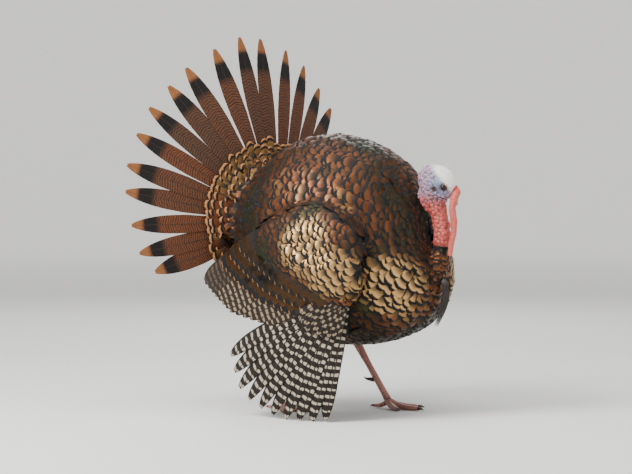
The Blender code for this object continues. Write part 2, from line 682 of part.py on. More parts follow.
def main():
    clear_scene()
    bird, cutters = collection("wild_turkey"), collection("cutters")
    floor = ground_cutter(cutters)

    body, throat, skull = trunk(bird), neck(bird), head(bird)
    bills = [upper_bill(bird), lower_bill(bird)]
    eyes = [eye(side, bird) for side in (RIGHT, LEFT)]
    finger, tassel = snood(bird), beard(bird)
    for eyeball in eyes:
        shape = eyeball.data
        shape.transform(Matrix.Translation(eyeball.location))
        eyeball.location = (0, 0, 0)
        make_room(skull, eyeball, cutters)
    make_room(skull, finger, cutters, gap=2 * GAP)
    make_room(as_mesh(bills[0]), finger, cutters)
    as_mesh(skull)
    make_room(body, throat, cutters, gap=3 * GAP)
    make_room(throat, skull, cutters)
    make_room(throat, tassel, cutters)
    as_mesh(throat)
    as_mesh(bills[0])

    vanes = [tail_feather(index, bird) for index in range(TAIL_FEATHERS)]
    front_pad = covert_pad("upper_tail_coverts", 1, COVERT_RADIUS, COVERT_THICKNESS, bird)
    back_pad = covert_pad("under_tail_coverts", -1, UNDER_COVERT_RADIUS, UNDER_COVERT_THICKNESS, bird)

    flank = bpy.data.objects.new("flank", body.data.copy())
    for side, leg, wing in ((RIGHT, LEG_RIGHT, WING_RIGHT), (LEFT, LEG_LEFT, WING_LEFT)):
        drumstick, shin = thigh(side, leg, bird), shank(side, leg, bird)
        toes = foot(side, leg, bird, cutters)
        boolean(toes, floor, "DIFFERENCE")
        as_mesh(toes)
        spike = spur(side, leg, bird)
        make_room(shin, toes, cutters)
        make_room(shin, spike, cutters)
        as_mesh(shin)
        make_room(drumstick, shin, cutters)
        as_mesh(drumstick)
        make_room(body, drumstick, cutters)
        make_room(body, shin, cutters)
        for toe in TOES:
            claw(side, leg, toe, bird)
        tips = primaries(side, wing, bird)
        boolean(tips, floor, "DIFFERENCE")
        arm = wing_arm(side, wing, bird)
        for other in (flank, as_mesh(tips), secondaries(side, wing, bird)):
            make_room(arm, other, cutters, gap=2 * GAP).use_self = True
        as_mesh(arm)

    for other in (tassel, front_pad, back_pad):
        make_room(body, other, cutters, gap=3 * GAP)
    boolean(body, tail_slot(cutters), "DIFFERENCE")
    for feather in (vanes[0], vanes[-1]):
        make_room(body, feather, cutters, gap=3 * GAP)
    as_mesh(body)
    rear = split(body, BREAST_CUT, BREAST_PITCH, cutters, "breast", "rear")[1]
    split(rear, BELLY_CUT, BELLY_PITCH, cutters, "belly", "back")

    shift = recentre(bird)
    for obj in [*bird.objects, *cutters.objects]:
        obj.location += shift


main()
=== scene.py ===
import math

import bmesh
import bpy
import numpy as np
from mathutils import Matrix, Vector
from mathutils.bvhtree import BVHTree
from mathutils.kdtree import KDTree


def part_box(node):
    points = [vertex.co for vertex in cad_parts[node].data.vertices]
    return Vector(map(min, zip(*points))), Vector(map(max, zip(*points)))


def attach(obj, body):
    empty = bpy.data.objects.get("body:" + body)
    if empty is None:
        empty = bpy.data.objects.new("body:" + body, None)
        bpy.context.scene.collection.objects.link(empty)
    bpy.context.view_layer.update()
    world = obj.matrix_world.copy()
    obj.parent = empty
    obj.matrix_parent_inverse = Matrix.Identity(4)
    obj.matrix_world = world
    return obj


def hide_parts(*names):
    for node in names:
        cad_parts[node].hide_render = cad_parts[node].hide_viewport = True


# A life-size wild turkey gobbler in full strut: skin, feathers, bare head and scaled legs.
# It faces +X, its left side is +Y and it stands on z = 0. Lengths are in metres.
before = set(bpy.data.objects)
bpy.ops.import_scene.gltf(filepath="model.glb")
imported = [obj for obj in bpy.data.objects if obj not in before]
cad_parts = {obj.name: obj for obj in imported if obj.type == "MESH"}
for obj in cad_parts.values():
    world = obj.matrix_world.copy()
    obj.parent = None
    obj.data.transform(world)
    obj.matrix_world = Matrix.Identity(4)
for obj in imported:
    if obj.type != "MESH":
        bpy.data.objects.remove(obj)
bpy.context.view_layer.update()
RNG = np.random.default_rng(11)
SIDES = {"right": -1, "left": 1}
TURN = 2 * math.pi

# the bird's own axes start this far from the middle of its footprint
ORIGIN = np.array((0.0242, -0.0249, 0.0))

# tail fan, as the frame holds it
TAIL_CENTRE = np.array((-0.175, 0.0, 0.430)) + ORIGIN
TAIL_RISE, TAIL_TURN = math.radians(79), math.radians(-12)
TAIL_FEATHERS, TAIL_SPREAD = 22, math.radians(212)
TAIL_LENGTH, TAIL_OUTER_LENGTH, TAIL_CREST = 0.437, 0.340, 0.021
TAIL_ROOT, TAIL_WIDTH = 0.085, 0.047
TAIL_BOWL, TAIL_SWEEP, TAIL_LAYER = -0.02, math.tan(math.radians(20)), 0.0014
TAIL_STACK, TAIL_LIFT = TAIL_LAYER * TAIL_FEATHERS / 2, 0.0028
# cushion of coverts over the tail's base, in front of the fan (1) and behind it (-1)
COVERT_RADIUS, COVERT_THICKNESS, COVERT_EDGE = {1: 0.168, -1: 0.155}, 0.040, 0.002
# how far out the covert rows reach, how much wider than the fan they spread at their roots,
# and how much more room their count takes
COVERT_ROWS = {1: (0.150, 0.95, 1.0), -1: (0.142, 0.16, 0.25)}

# wings: each hangs as a sheet beside the flank
WING_OUT, WING_WIDEST = 0.247, (0.03, 0.27)
WING_TURN_IN, WING_LEAN_IN = 0.8, 0.85
WINGS = {
    "right": {"elbow": (-0.035, 0.425), "wrist": (0.178, 0.297),
              "primaries": (-101, -154), "secondaries": (-160, -150)},
    "left": {"elbow": (-0.045, 0.400), "wrist": (0.112, 0.332),
             "primaries": (-148, -166), "secondaries": (-160, -145)},
}
# quills: count, lengths of the first, the longest and the last, where the longest is, width, webs
WING_QUILLS = {
    "primaries": (10, (0.300, 0.390, 0.375), 0.75, 0.037, (0.66, 0.34)),
    "secondaries": (13, (0.235, 0.275, 0.258), 0.4, 0.040, (0.6, 0.4)),
}
# rows: the quills they lie on, their share of those quills' length and width, height off the
# wing, step to the next feather, bluntness, splits, barbs, how far a barb runs, finish and slot
WING_ROWS = {
    "primaries": ("primaries", 1.0, 1.0, -0.0085, 0.00055, 0.55, 2, 46, 0.030,
                  "primary", "wing_quill"),
    "primary_coverts": ("primaries", 0.36, 0.616, 0.0005, 0.00055, 0.55, 2, 22, 0.030,
                        "primary_covert", "wing_quill"),
    "secondaries": ("secondaries", 1.0, 1.0, -0.0030, 0.00028, 0.95, 2, 40, 0.030,
                    "secondary", "wing_quill"),
    "greater_coverts": ("secondaries", 0.67, 1.0, 0.0026, 0.00022, 0.7, 1, 22, 0.02142,
                        "greater_covert", "plumage"),
    "middle_coverts": ("secondaries", 0.53, 0.95, 0.0048, 0.00022, 0.6, 1, 22, 0.01778,
                       "greater_covert", "plumage"),
    "median_coverts": ("secondaries", 0.38, 0.90, 0.0070, 0.00022, 0.6, 1, 22, 0.01388,
                       "greater_covert", "plumage"),
}
# the innermost secondaries are plain brown, and each web is lifted a little in front
TERTIALS, TERTIAL_BROWN, WEB_LEAN = 3, 0.75, 0.03

# head
HEAD_CENTRE = np.array((0.267, 0.0, 0.532)) + ORIGIN
HEAD_YAW, HEAD_PITCH = math.radians(28), math.radians(40)
EYE_FORWARD, EYE_SIDE, EYE_UP, EYE_RADIUS = 0.0185, 0.0212, 0.001, 0.0075
GAPE = ((0.025, -0.022), (0.052, -0.010))
NECK_BASE = np.array((0.255, 0.0, 0.41)) + ORIGIN
# ovals on the side of the head: the middle, forward and up, and the half-width each way
EAR = (0.0045, -0.0165), (0.0056, 0.0042)
SOCKET = (EYE_FORWARD, EYE_UP), (0.0125, 0.0088)
TEMPLE = (0.006, -0.012), (0.017, 0.009)
JOWL = (0.016, -0.031), (0.014, 0.008)
LID_OPENING = (0.0, 0.0), (0.0068, 0.0052)
# warts: how far apart and how high they stand, and 0 where only the throat has them
WARTS = ((0.0072, 0.0024, 1.0), (0.0036, 0.0008, 1.0), (0.0160, 0.0046, 0.0))

# legs: hock, toe joint and heading
LEGS = {
    "right": {"hock": (-0.090, -0.090, 0.188), "joint": (-0.112, -0.088, 0.020), "heading": -6},
    "left": {"hock": (-0.022, 0.088, 0.163), "joint": (0.077, 0.086, 0.020), "heading": -4},
}
TOES = {"inner": 34, "middle": 0, "outer": -36, "hind": 172}
SHANK_SCUTE, TOE_SCUTE, SHANK_NET, TOE_NET = 0.0062, 0.0050, 0.0042, 0.0034

BEARD_PATH = ((0.279, 0, 0.316), (0.289, 0, 0.302), (0.2905, 0, 0.275), (0.281, 0, 0.240),
              (0.263, 0, 0.205))
BEARD_BRISTLES, BEARD_BRISTLE_RADIUS, HEAD_BRISTLE_RADIUS = 190, 0.0007, 0.00022

# nodes of flesh, which one skin replaces
PADS = ("upper_tail_coverts", "under_tail_coverts")
ARMS = ("wing_right_arm", "wing_left_arm")
THIGHS = ("thigh_right", "thigh_left")
FLESH = ("back", "breast", "belly") + PADS + ARMS + THIGHS + ("head", "neck")
# pieces of the coat: the nodes each one covers, and the node whose middle its bake map is round
COATS = {
    "breast_coat": (("breast", "neck"), "breast"),
    "back_coat": (("back",) + PADS, "back"),
    "belly_coat": (("belly",) + THIGHS, "belly"),
    "wing_right_coverts_small": (ARMS[:1], "wing_right_arm"),
    "wing_left_coverts_small": (ARMS[1:], "wing_left_arm"),
}
# how far apart its feathers stand: on the trunk, and where it is closer or wider
COAT_GAP, RUFF_CLOSER = 0.0150, 0.52
NODE_GAPS = {"belly": 0.0165, "wing_right_arm": 0.0115, "wing_left_arm": 0.0115,
             "thigh_right": 0.0105, "thigh_left": 0.0105}
# each is this many gaps long and wide, and two may stand as close as this share of the gap
FEATHER_LENGTH, FEATHER_WIDTH, CLOSEST = 3.6, 2.15, 0.85
COAT_SAMPLES = 90000

HEX = {
    "soot": "#1b1815", "velvet_black": "#0b0a0a", "copper": "#6e3d20", "bronze": "#46301a",
    "olive_green": "#34391d", "old_gold": "#86653a", "highlight_gold": "#c79c62", "chestnut": "#6b3c22",
    "buff": "#9c6b42", "tail_tip": "#8c5932", "tail_brown": "#533827", "tail_black": "#14100e",
    "quill_brown": "#2a2019", "quill_dark": "#211b17", "quill_white": "#b0a592",
    "quill_grey": "#8c7c66", "rachis": "#3a2c22", "crown_white": "#e6e2dc", "face_blue": "#88a5c6",
    "skin_red": "#b33a31", "skin_pink": "#d1786a", "wart_red": "#a5302b", "snood": "#c4493d",
    "horn": "#a08c6e", "horn_dark": "#4b3d2f", "claw": "#2c241f", "iris": "#2e1a0e",
    "pupil": "#050505", "leg_pink": "#bd7a6d", "leg_grey": "#84655c", "crease": "#4a2b2c",
    "bristle": "#100e0d", "floor": "#dcdbd8",
}


def linear(name):
    """A named sRGB colour as linear RGBA."""
    text = HEX[name].lstrip("#")
    shares = [int(text[i:i + 2], 16) / 255 for i in (0, 2, 4)]
    return (*(c / 12.92 if c <= 0.04045 else ((c + 0.055) / 1.055) ** 2.4 for c in shares), 1.0)


# ---------------------------------------------------------------- small helpers
def unit(v):
    """Vectors scaled to a length of 1."""
    v = np.asarray(v, float)
    return v / np.maximum(np.linalg.norm(v, axis=-1, keepdims=True), 1e-12)


def smoothstep(low, high, value):
    """0 below low and 1 above high, with a smooth rise between them."""
    t = np.clip((np.asarray(value, float) - low) / (high - low), 0, 1)
    return t * t * (3 - 2 * t)


def bell(away, width):
    """1 at no distance, and falling smoothly towards 0 over a width."""
    return np.exp(-(away / width) ** 2)


def feed(tree, node, inputs):
    """Sets a node's inputs: each takes a value, or the output that feeds it."""
    for key, value in inputs.items():
        if isinstance(value, bpy.types.NodeSocket):
            tree.links.new(value, node.inputs[key])
        else:
            node.inputs[key].default_value = value


def add(tree, kind, inputs=None, output=0, stops=(), **settings):
    """Adds one shader node with its settings and links, and gives one of its outputs."""
    made = tree.nodes.new("ShaderNode" + kind)
    for name, value in settings.items():
        setattr(made, name, value)
    feed(tree, made, inputs or {})
    if stops:
        ramp = made.color_ramp
        while len(ramp.elements) > 1:
            ramp.elements.remove(ramp.elements[-1])
        for i, (place, colour) in enumerate(stops):
            stop = ramp.elements[0] if i == 0 else ramp.elements.new(place)
            stop.position = place
            stop.color = colour if isinstance(colour, tuple) else (colour, colour, colour, 1)
    return made.outputs[output]


def node_mesh(names):
    """Points and faces of several frame nodes together, and each face's node."""
    points, faces, owner, start = [], [], [], 0
    for name in names:
        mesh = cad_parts[name].data
        points += [tuple(v.co) for v in mesh.vertices]
        faces += [tuple(start + i for i in p.vertices) for p in mesh.polygons]
        owner += [name] * len(mesh.polygons)
        start += len(mesh.vertices)
    return points, faces, owner


def shown(name, mesh, material, nodes=()):
    """Puts a finished mesh in the scene as a piece of the bird, with nothing below the floor."""
    made = bpy.data.objects.new(name, mesh)
    bpy.context.scene.collection.objects.link(made)
    co = coordinates(mesh)
    co[:, 2] = np.maximum(co[:, 2], 0.0)
    place_vertices(mesh, co)
    mesh.materials.clear()
    mesh.materials.append(MATERIALS[material])
    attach(made, "root")
    if nodes:
        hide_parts(*nodes)
    return made


def remeshed(name, points, faces, voxel):
    """One closed mesh over everything given, with even faces about a voxel across."""
    mesh = bpy.data.meshes.new(name)
    mesh.from_pydata(points, [], faces)
    holder = bpy.data.objects.new(name, mesh)
    bpy.context.scene.collection.objects.link(holder)
    remesh = holder.modifiers.new("even", "REMESH")
    remesh.mode, remesh.voxel_size, remesh.use_smooth_shade = "VOXEL", voxel, True
    graph = bpy.context.evaluated_depsgraph_get()
    made = bpy.data.meshes.new_from_object(holder.evaluated_get(graph))
    bpy.data.objects.remove(holder)
    return made


def coordinates(mesh):
    co = np.empty(len(mesh.vertices) * 3)
    mesh.vertices.foreach_get("co", co)
    return co.reshape(-1, 3)


def vertex_normals(mesh):
    n = np.empty(len(mesh.vertices) * 3)
    mesh.vertices.foreach_get("normal", n)
    return n.reshape(-1, 3)


def place_vertices(mesh, co):
    mesh.vertices.foreach_set("co", np.ascontiguousarray(co, np.float32).ravel())
    mesh.update()


def edge_pairs(mesh):
    pairs = np.empty(len(mesh.edges) * 2, int)
    mesh.edges.foreach_get("vertices", pairs)
    return pairs.reshape(-1, 2)


def neighbour_sum(co, pairs):
    """The sum of each point's neighbours along the edges."""
    total = np.zeros_like(co)
    for axis in range(co.shape[1]):
        total[:, axis] = np.bincount(pairs[:, 0], co[pairs[:, 1], axis], len(co))
        total[:, axis] += np.bincount(pairs[:, 1], co[pairs[:, 0], axis], len(co))
    return total


def smoothed(co, pairs, rounds, amount=0.5, back=-0.53):
    """Rounds off facets without shrinking: each smoothing step is followed by one outwards."""
    degree = np.bincount(pairs.ravel(), minlength=len(co))[:, None]
    for _ in range(rounds):
        for step in (amount, back):
            co = co + step * (neighbour_sum(co, pairs) / np.maximum(degree, 1) - co)
    return co


def point_field(mesh, name, values):
    """Stores one number for each vertex, for the materials to read."""
    field = mesh.attributes.new(name, "FLOAT", "POINT")
    field.data.foreach_set("value", np.ascontiguousarray(values, np.float32))


# what each corner of a feather knows: its own tone, the painted highlight and chestnut tips there,
# and the shaft
FIELDS = ("tone", "gleam", "rust", "shaft")


class Heap:
    """Many small closed forms of four-sided faces, gathered into one mesh."""

    def __init__(self):
        self.parts, self.count = [], 0

    def add(self, points, faces, vane, bake, fields):
        """points is forms x corners x 3, and faces number the corners of one form."""
        forms, corners = points.shape[:2]
        starts = self.count + np.arange(forms) * corners
        faces = faces[None] + starts[:, None, None]
        self.parts.append((points.reshape(-1, 3), faces.reshape(-1, 4), vane.reshape(-1, 2),
                           bake.reshape(-1, 2), fields.reshape(-1, len(FIELDS))))
        self.count += forms * corners

    def mesh(self, name):
        """The mesh, with its bake map, each feather's own places and its fields."""
        points, faces, vane, bake, fields = (np.concatenate(part) for part in zip(*self.parts))
        mesh = bpy.data.meshes.new(name)
        mesh.vertices.add(len(points))
        mesh.vertices.foreach_set("co", points.astype(np.float32).ravel())
        mesh.loops.add(faces.size)
        mesh.loops.foreach_set("vertex_index", faces.astype(np.int32).ravel())
        mesh.polygons.add(len(faces))
        mesh.polygons.foreach_set("loop_start", np.arange(0, faces.size, 4, dtype=np.int32))
        mesh.update(calc_edges=True)
        corner = faces.ravel()
        for map_name, places in (("OFBake", bake), ("Vane", vane)):
            layer = mesh.uv_layers.new(name=map_name)
            layer.data.foreach_set("uv", places[corner].astype(np.float32).ravel())
        for i, field in enumerate(FIELDS):
            point_field(mesh, field, fields[:, i])
        mesh.shade_smooth()
        mesh.set_sharp_from_angle(angle=math.radians(60))
        return mesh


# ---------------------------------------------------------------- the bird's axes
def head_axes():
    """Forward, left and up of the head."""
    ahead = np.array((math.cos(HEAD_YAW), math.sin(HEAD_YAW), 0))
    up = np.array((0, 0, 1.0))
    forward = math.cos(HEAD_PITCH) * ahead - math.sin(HEAD_PITCH) * up
    left = np.cross(up, ahead)
    return np.array((forward, left, np.cross(forward, left)))


def tail_axes():
    """Middle feather's direction, the bird's right and the fan's front."""
    c, s = math.cos(TAIL_TURN), math.sin(TAIL_TURN)
    turn = np.array(((c, -s, 0), (s, c, 0), (0, 0, 1)))
    middle = turn @ (-math.cos(TAIL_RISE), 0, math.sin(TAIL_RISE))
    right = turn @ (0, -1, 0)
    return np.array((middle, right, -np.cross(right, middle)))


HEAD_AXES, FAN_AXES = head_axes(), tail_axes()


def in_head(co):
    """Forward, left and up of points, from the middle of the head."""
    return (co - HEAD_CENTRE) @ HEAD_AXES.T


def on_fan(along, across, height):
    """Points of the dished fan from their coordinates in its plane."""
    bowl = TAIL_BOWL * (along ** 2 + across ** 2) - TAIL_SWEEP * (np.hypot(across, 0.15) - 0.15)
    return TAIL_CENTRE + np.stack((along, across, height + bowl), -1) @ FAN_AXES


def wing_y(x, z):
    """Distance of the hanging wing from the midplane."""
    turned = WING_TURN_IN * (x - WING_WIDEST[0]) ** 2
    return WING_OUT - turned - WING_LEAN_IN * np.maximum(0, z - WING_WIDEST[1]) ** 2


# ---------------------------------------------------------------- painted highlight and markings shared by skin and coat
def patch(co, middle, reach):
    """1 in the middle of an oval patch, the same on both flanks, and 0 outside it."""
    beside = co - ORIGIN
    beside = np.stack((beside[:, 0], np.abs(beside[:, 1]), beside[:, 2]), -1)
    away = np.linalg.norm((beside - middle) / reach, axis=1)
    return 1 - smoothstep(0.55, 1.0, away)


def gleam(co):
    """Painted highlight: where the plumage is painted brighter as the light catches it, on a breast
    shield and a shoulder shield.
    """
    breast = patch(co, (0.237, 0.100, 0.324), (0.083, 0.085, 0.074))
    shoulder = patch(co, (0.100, 0.230, 0.398), (0.075, 0.090, 0.080))
    elbow = patch(co, (0.155, 0.225, 0.352), (0.075, 0.090, 0.058))
    return np.maximum(breast, np.maximum(shoulder, elbow))


def rust(co):
    """How chestnut the feather tips are: on the rump and the coverts round the tail."""
    near_tail = np.linalg.norm(co - TAIL_CENTRE, axis=1)
    return 1 - smoothstep(0.10, 0.30, near_tail)


# ---------------------------------------------------------------- skin
BODY_VOXEL, COAT_DEPTH = 0.005, 0.009


def eye_middle(side):
    """Middle of the right (-1) or left (1) eyeball."""
    return HEAD_CENTRE + np.array((EYE_FORWARD, side * EYE_SIDE, EYE_UP)) @ HEAD_AXES


def grooves_filled(co, normals, pairs, rounds):
    """Raises the hollows where wings, thighs and fan meet the body, which loose feathers bridge."""
    clear = smoothstep(0.13, 0.22, np.linalg.norm(co - NECK_BASE, axis=1))
    degree = np.bincount(pairs.ravel(), minlength=len(co))[:, None]
    for _ in range(rounds):
        towards = neighbour_sum(co, pairs) / np.maximum(degree, 1) - co
        out = np.maximum((towards * normals).sum(1), 0) * clear
        co = co + 0.7 * normals * out[:, None]
    return co


def body_form():
    """The bird's outline with its coat on, as one even mesh, and its points."""
    points, faces, _ = node_mesh(FLESH + ("eye_left", "eye_right"))
    mesh = remeshed("form", points, faces, BODY_VOXEL)
    pairs = edge_pairs(mesh)
    soft = smoothed(coordinates(mesh), pairs, 24)
    place_vertices(mesh, soft)
    soft = grooves_filled(soft, vertex_normals(mesh), pairs, 14)
    place_vertices(mesh, soft)
    return mesh, soft


def owners(co, names):
    """The nearest frame node of each point."""
    points, faces, owner = node_mesh(names)
    tree = BVHTree.FromPolygons(points, faces)
    return np.array([owner[tree.find_nearest(p)[2]] for p in co.tolist()])


def thickness_inside(tree, co, normals, most):
    """How thick the form is below each point, up to a limit."""
    found = np.full(len(co), most)
    for i, (p, n) in enumerate(zip(co, normals)):
        hit = tree.ray_cast(Vector(p - n * 0.0005), Vector(-n), most)
        if hit[0] is not None:
            found[i] = hit[3]
    return found


def neck_share(co, owner):
    """0 on the plumed trunk and 1 on the bare neck and head."""
    return smoothstep(0.372, 0.40, (co - ORIGIN)[:, 2]) * np.isin(owner, ("head", "neck"))


def divide(mesh, chosen, cuts):
    """Divides the chosen faces evenly and leaves the rest."""
    made = bmesh.new()
    made.from_mesh(mesh)
    made.faces.ensure_lookup_table()
    edges = {e for i in chosen for e in made.faces[i].edges}
    bmesh.ops.subdivide_edges(made, edges=list(edges), cuts=cuts, use_grid_fill=True)
    made.to_mesh(mesh)
    made.free()


def nearest_distances(co, seeds):
    """Distance of each point to its nearest seed, and which one it is."""
    tree = KDTree(len(seeds))
    for i, seed in enumerate(seeds):
        tree.insert(seed, i)
    tree.balance()
    found = [tree.find(p) for p in co.tolist()]
    return np.array([f[2] for f in found]), np.array([f[1] for f in found])


CELLS_AROUND = [(a, b, c) for a in (-1, 0, 1) for b in (-1, 0, 1) for c in (-1, 0, 1)]


def spread(co, gap, order):
    """Points picked in an order, each keeping its own gap from all picked before it."""
    gap = np.broadcast_to(gap, len(co))
    cells = (co // gap.max()).astype(int)
    grid, chosen = {}, []
    for i in order:
        x, y, z = cells[i].tolist()
        near = [j for a, b, c in CELLS_AROUND for j in grid.get((x + a, y + b, z + c), ())]
        if near:
            away = co[near] - co[i]
            if (np.einsum("ij,ij->i", away, away) < gap[i] ** 2).any():
                continue
        grid.setdefault((x, y, z), []).append(i)
        chosen.append(i)
    return np.array(chosen)


def oval(forward, up, middle, reach):
    """Distance from the middle of an oval on the side of the head, 1 at its edge."""
    return np.hypot((forward - middle[0]) / reach[0], (up - middle[1]) / reach[1])


def raised_warts(co, places, warty, throat):
    """Height of round warts of three sizes on the bare skin, the largest on the throat."""
    warts = np.zeros(len(co))
    for spacing, height, everywhere in WARTS:
        seeds = co[spread(co, spacing, RNG.permutation(places))]
        away, which = nearest_distances(co[places], seeds)
        bump = np.sqrt(np.clip(1 - (away / (0.62 * spacing)) ** 2, 0, 1))
        grown = RNG.uniform(0.55, 1.1, len(seeds))[which]
        share = everywhere + (1 - everywhere) * throat[places]
        warts[places] += height * bump * grown * share * warty[places]
    return warts


def raised_features(forward, side, up, height, normals, warty):
    """Height of neck rings, brow, cheek groove, ear rim, dewlap and jaw over the plain skin."""
    rings = 0.0004 * np.sin(height / 0.0083 * TURN + 5 * np.sin(side / 0.011)) * warty
    rings *= smoothstep(0.05, -0.02, forward)
    brow = 0.0022 * bell(up - 0.0095 - 0.06 * forward, 0.0024) * (np.abs(side) > 0.008)
    brow *= smoothstep(0.000, 0.010, forward) * smoothstep(0.036, 0.028, forward)
    cheek = -0.0012 * bell(up + 0.012, 0.0022) * smoothstep(-0.004, 0.006, forward)
    cheek *= (forward > -0.01) * (height > 0.48)
    ear_gap = oval(forward, up, *EAR)
    ear = 0.0011 * bell(ear_gap - 1.7, 0.45) - 0.0022 * bell(ear_gap, 1)
    dewlap = 0.0080 * bell(side, 0.0050) * smoothstep(0.10, 0.55, -normals @ HEAD_AXES[2])
    dewlap *= smoothstep(-0.024, -0.008, forward) * (1 - smoothstep(0.020, 0.034, forward))
    dewlap *= height > 0.462
    gape = segment_gap(forward, up, GAPE)
    jaw = 0.0012 * bell(gape - 0.0032, 0.0018) - 0.0016 * bell(gape, 0.0010)
    return rings + brow + cheek + ear + dewlap + jaw * (forward > 0.018) * (height > 0.47)


def painted_shade_places(forward, up, height, warty, warts):
    """Painted shade on the skin: how dark it is between warts, in the gape, in the ear hole, and
    round eye, temple and jowl.
    """
    dark = 0.80 * warty * (1 - smoothstep(0.0, 0.0011, warts))
    gape = bell(segment_gap(forward, up, GAPE), 0.0012)
    dark = dark + 0.5 * gape * (forward > 0.018) * (height > 0.47)
    dark = dark + 0.60 * bell(oval(forward, up, *SOCKET) - 0.70, 0.34) * (height > 0.49)
    dark = dark + 0.55 * bell(oval(forward, up, *TEMPLE), 1) * (height > 0.48)
    dark = dark + 0.60 * bell(oval(forward, up, *JOWL), 1) * (height > 0.45)
    return dark + bell(oval(forward, up, *EAR), 1)


def sculpt_head(co, normals, bare):
    """Raises warts, folds, brow, lids and ear on the bare skin; gives points and colour fields."""
    forward, side, up = in_head(co).T
    height = (co - ORIGIN)[:, 2]
    crown = smoothstep(0.004, 0.016, up + 0.20 * forward) * smoothstep(-0.045, -0.02, forward)
    crown *= height > 0.50
    face = bell(oval(forward, up, (0.012, -0.004), (0.024, 0.017)), 1) * (height > 0.49)
    warty = bare * (1 - crown) * (1 - 0.8 * face)
    front = np.abs(unit(np.cross(HEAD_AXES[1], (0, 0, 1))))
    throat = smoothstep(-0.2, 0.5, normals @ front) * (1 - smoothstep(0.43, 0.475, height))
    warts = raised_warts(co, np.flatnonzero(bare > 0.02), warty, throat)
    lift = warts + raised_features(forward, side, up, height, normals, warty)
    co, lid = set_lids(co + normals * (lift * bare)[:, None])
    red = np.clip(0.25 + 1.2 * (1 - smoothstep(0.44, 0.52, height)) + warts * 160, 0, 1)
    # the dark field is painted shade: between warts, in the gape and ear hole, along the lids, and
    # round eye, temple and jowl
    dark = painted_shade_places(forward, up, height, warty, warts) + lid
    return co, {"crown": crown, "face": face * bare, "red": red * (1 - crown),
                "dark": np.clip(dark, 0, 1) * bare, "bare": bare}


def segment_gap(forward, up, ends):
    """Distance of points from a line on the side of the head."""
    start, end = (np.array(e) for e in ends)
    place = np.stack((forward, up), -1) - start
    share = np.clip(place @ (end - start) / ((end - start) @ (end - start)), 0, 1)
    return np.linalg.norm(place - share[:, None] * (end - start), axis=1)


def set_lids(co):
    """Lays the skin over each eyeball, with an almond opening between two rolled lids."""
    lid = np.zeros(len(co))
    for side in SIDES.values():
        middle = eye_middle(side)
        away = co - middle
        near = np.linalg.norm(away, axis=1)
        opening = oval(away @ HEAD_AXES[0], away @ HEAD_AXES[2], *LID_OPENING)
        facing = (side * away @ HEAD_AXES[1] > 0) & (near < 0.017)
        over = facing & (opening > 1) & (near < EYE_RADIUS + 0.0030)
        inside = facing & (opening <= 1)
        # the skin lies just over the ball, thicker at the rolled edge, and sinks behind the opening
        wanted = EYE_RADIUS + 0.0004 + 0.0010 * bell(opening - 1.28, 0.22)
        raised = np.maximum(near, wanted)
        reach = np.where(over, wanted + (raised - wanted) * smoothstep(1.5, 2.0, opening), raised)
        reach = np.where(inside, np.minimum(near, EYE_RADIUS - 0.0016), reach)
        moved = facing & (inside | over | (near < EYE_RADIUS + 0.0004))
        scale = np.where(moved, reach / np.maximum(near, 1e-6), 1.0)
        co = middle + away * scale[:, None]
        # painted shade along the rim of the lid opening
        lid = np.maximum(lid, facing * bell(opening - 1.0, 0.16))
    return co, lid


def make_skin(mesh, soft, tree, owner):
    """One skin from bill to hock: inside the coat's depth, bare and warted on head and neck."""
    normals = vertex_normals(mesh)
    plumed = 1 - neck_share(soft, owner)
    thick = thickness_inside(tree, soft, normals, 0.03)
    depth = np.minimum(COAT_DEPTH * plumed, 0.30 * thick * plumed)
    depth = np.where(np.isin(owner, PADS), np.minimum(depth, 0.0035), depth)
    place_vertices(mesh, soft - normals * depth[:, None])
    # twice as fine each time: the neck twice, and the head once more
    for lowest in (0.385, 0.385, 0.492):
        middles = np.array([p.center for p in mesh.polygons])
        bald = np.isin(owners(middles, FLESH), ("head", "neck")) & (middles[:, 2] > lowest)
        divide(mesh, np.flatnonzero(bald), 1)
    co = coordinates(mesh)
    pairs = edge_pairs(mesh)
    bare = neck_share(co, owners(co, FLESH))[:, None]
    bare = smoothed(bare, pairs, 4, 0.5, 0.5)
    co = np.where(bare > 0.5, smoothed(co, pairs, 10), co)
    place_vertices(mesh, co)
    co, fields = sculpt_head(co, vertex_normals(mesh), bare[:, 0])
    place_vertices(mesh, co)
    fields.update(gleam=gleam(co), rust=rust(co))
    for name, values in fields.items():
        point_field(mesh, name, values)
    mesh.shade_smooth()
    return shown("skin", mesh, "bare_skin", FLESH)


# ---------------------------------------------------------------- contour feathers
# how far along a body feather its rows lie, and its half-width there: a broad, blunt blade
BLADE_ROWS = np.array((0.0, 0.28, 0.55, 0.74, 0.86, 0.94, 0.985, 1.0))
BLADE_WIDTH = np.array((0.30, 0.74, 0.98, 1.0, 0.90, 0.68, 0.40, 0.16))
# corners round a section: share of the half-width, height share of the top, and of the underside
BLADE_ACROSS = np.array((-1.0, -0.55, 0.0, 0.55, 1.0, 0.0))
BLADE_TOP = np.array((0.0, 0.75, 1.0, 0.75, 0.0, 0.0))
BLADE_UNDER = np.array((0, 0, 0, 0, 0, 1))


def tube_faces(rows, sides):
    """Faces of a closed lofted form: its wall, and its two ends for six or four sides."""
    faces = []
    for r in range(rows - 1):
        for k in range(sides):
            n = (k + 1) % sides
            faces.append((r * sides + k, r * sides + n, (r + 1) * sides + n, (r + 1) * sides + k))
    ends = ((0, 1, 2, 5), (2, 3, 4, 5)) if sides == 6 else ((0, 1, 2, 3),)
    last = (rows - 1) * sides
    for end in ends:
        faces.append(tuple(reversed(end)))
        faces.append(tuple(last + c for c in end))
    return np.array(faces)


BLADE_FACES = tube_faces(len(BLADE_ROWS), 6)
# side of the patch of the bake map that one feather takes
BAKE_PATCH = 0.003


def unwrap(points, middle):
    """An even unwrap of a rounded form round its own middle, as U and V."""
    away = unit(points - middle)
    around = np.arctan2(away[:, 1], away[:, 2]) / TURN + 0.5
    return np.stack((around, (1 - away[:, 0]) / 2), -1) * 0.98 + 0.01


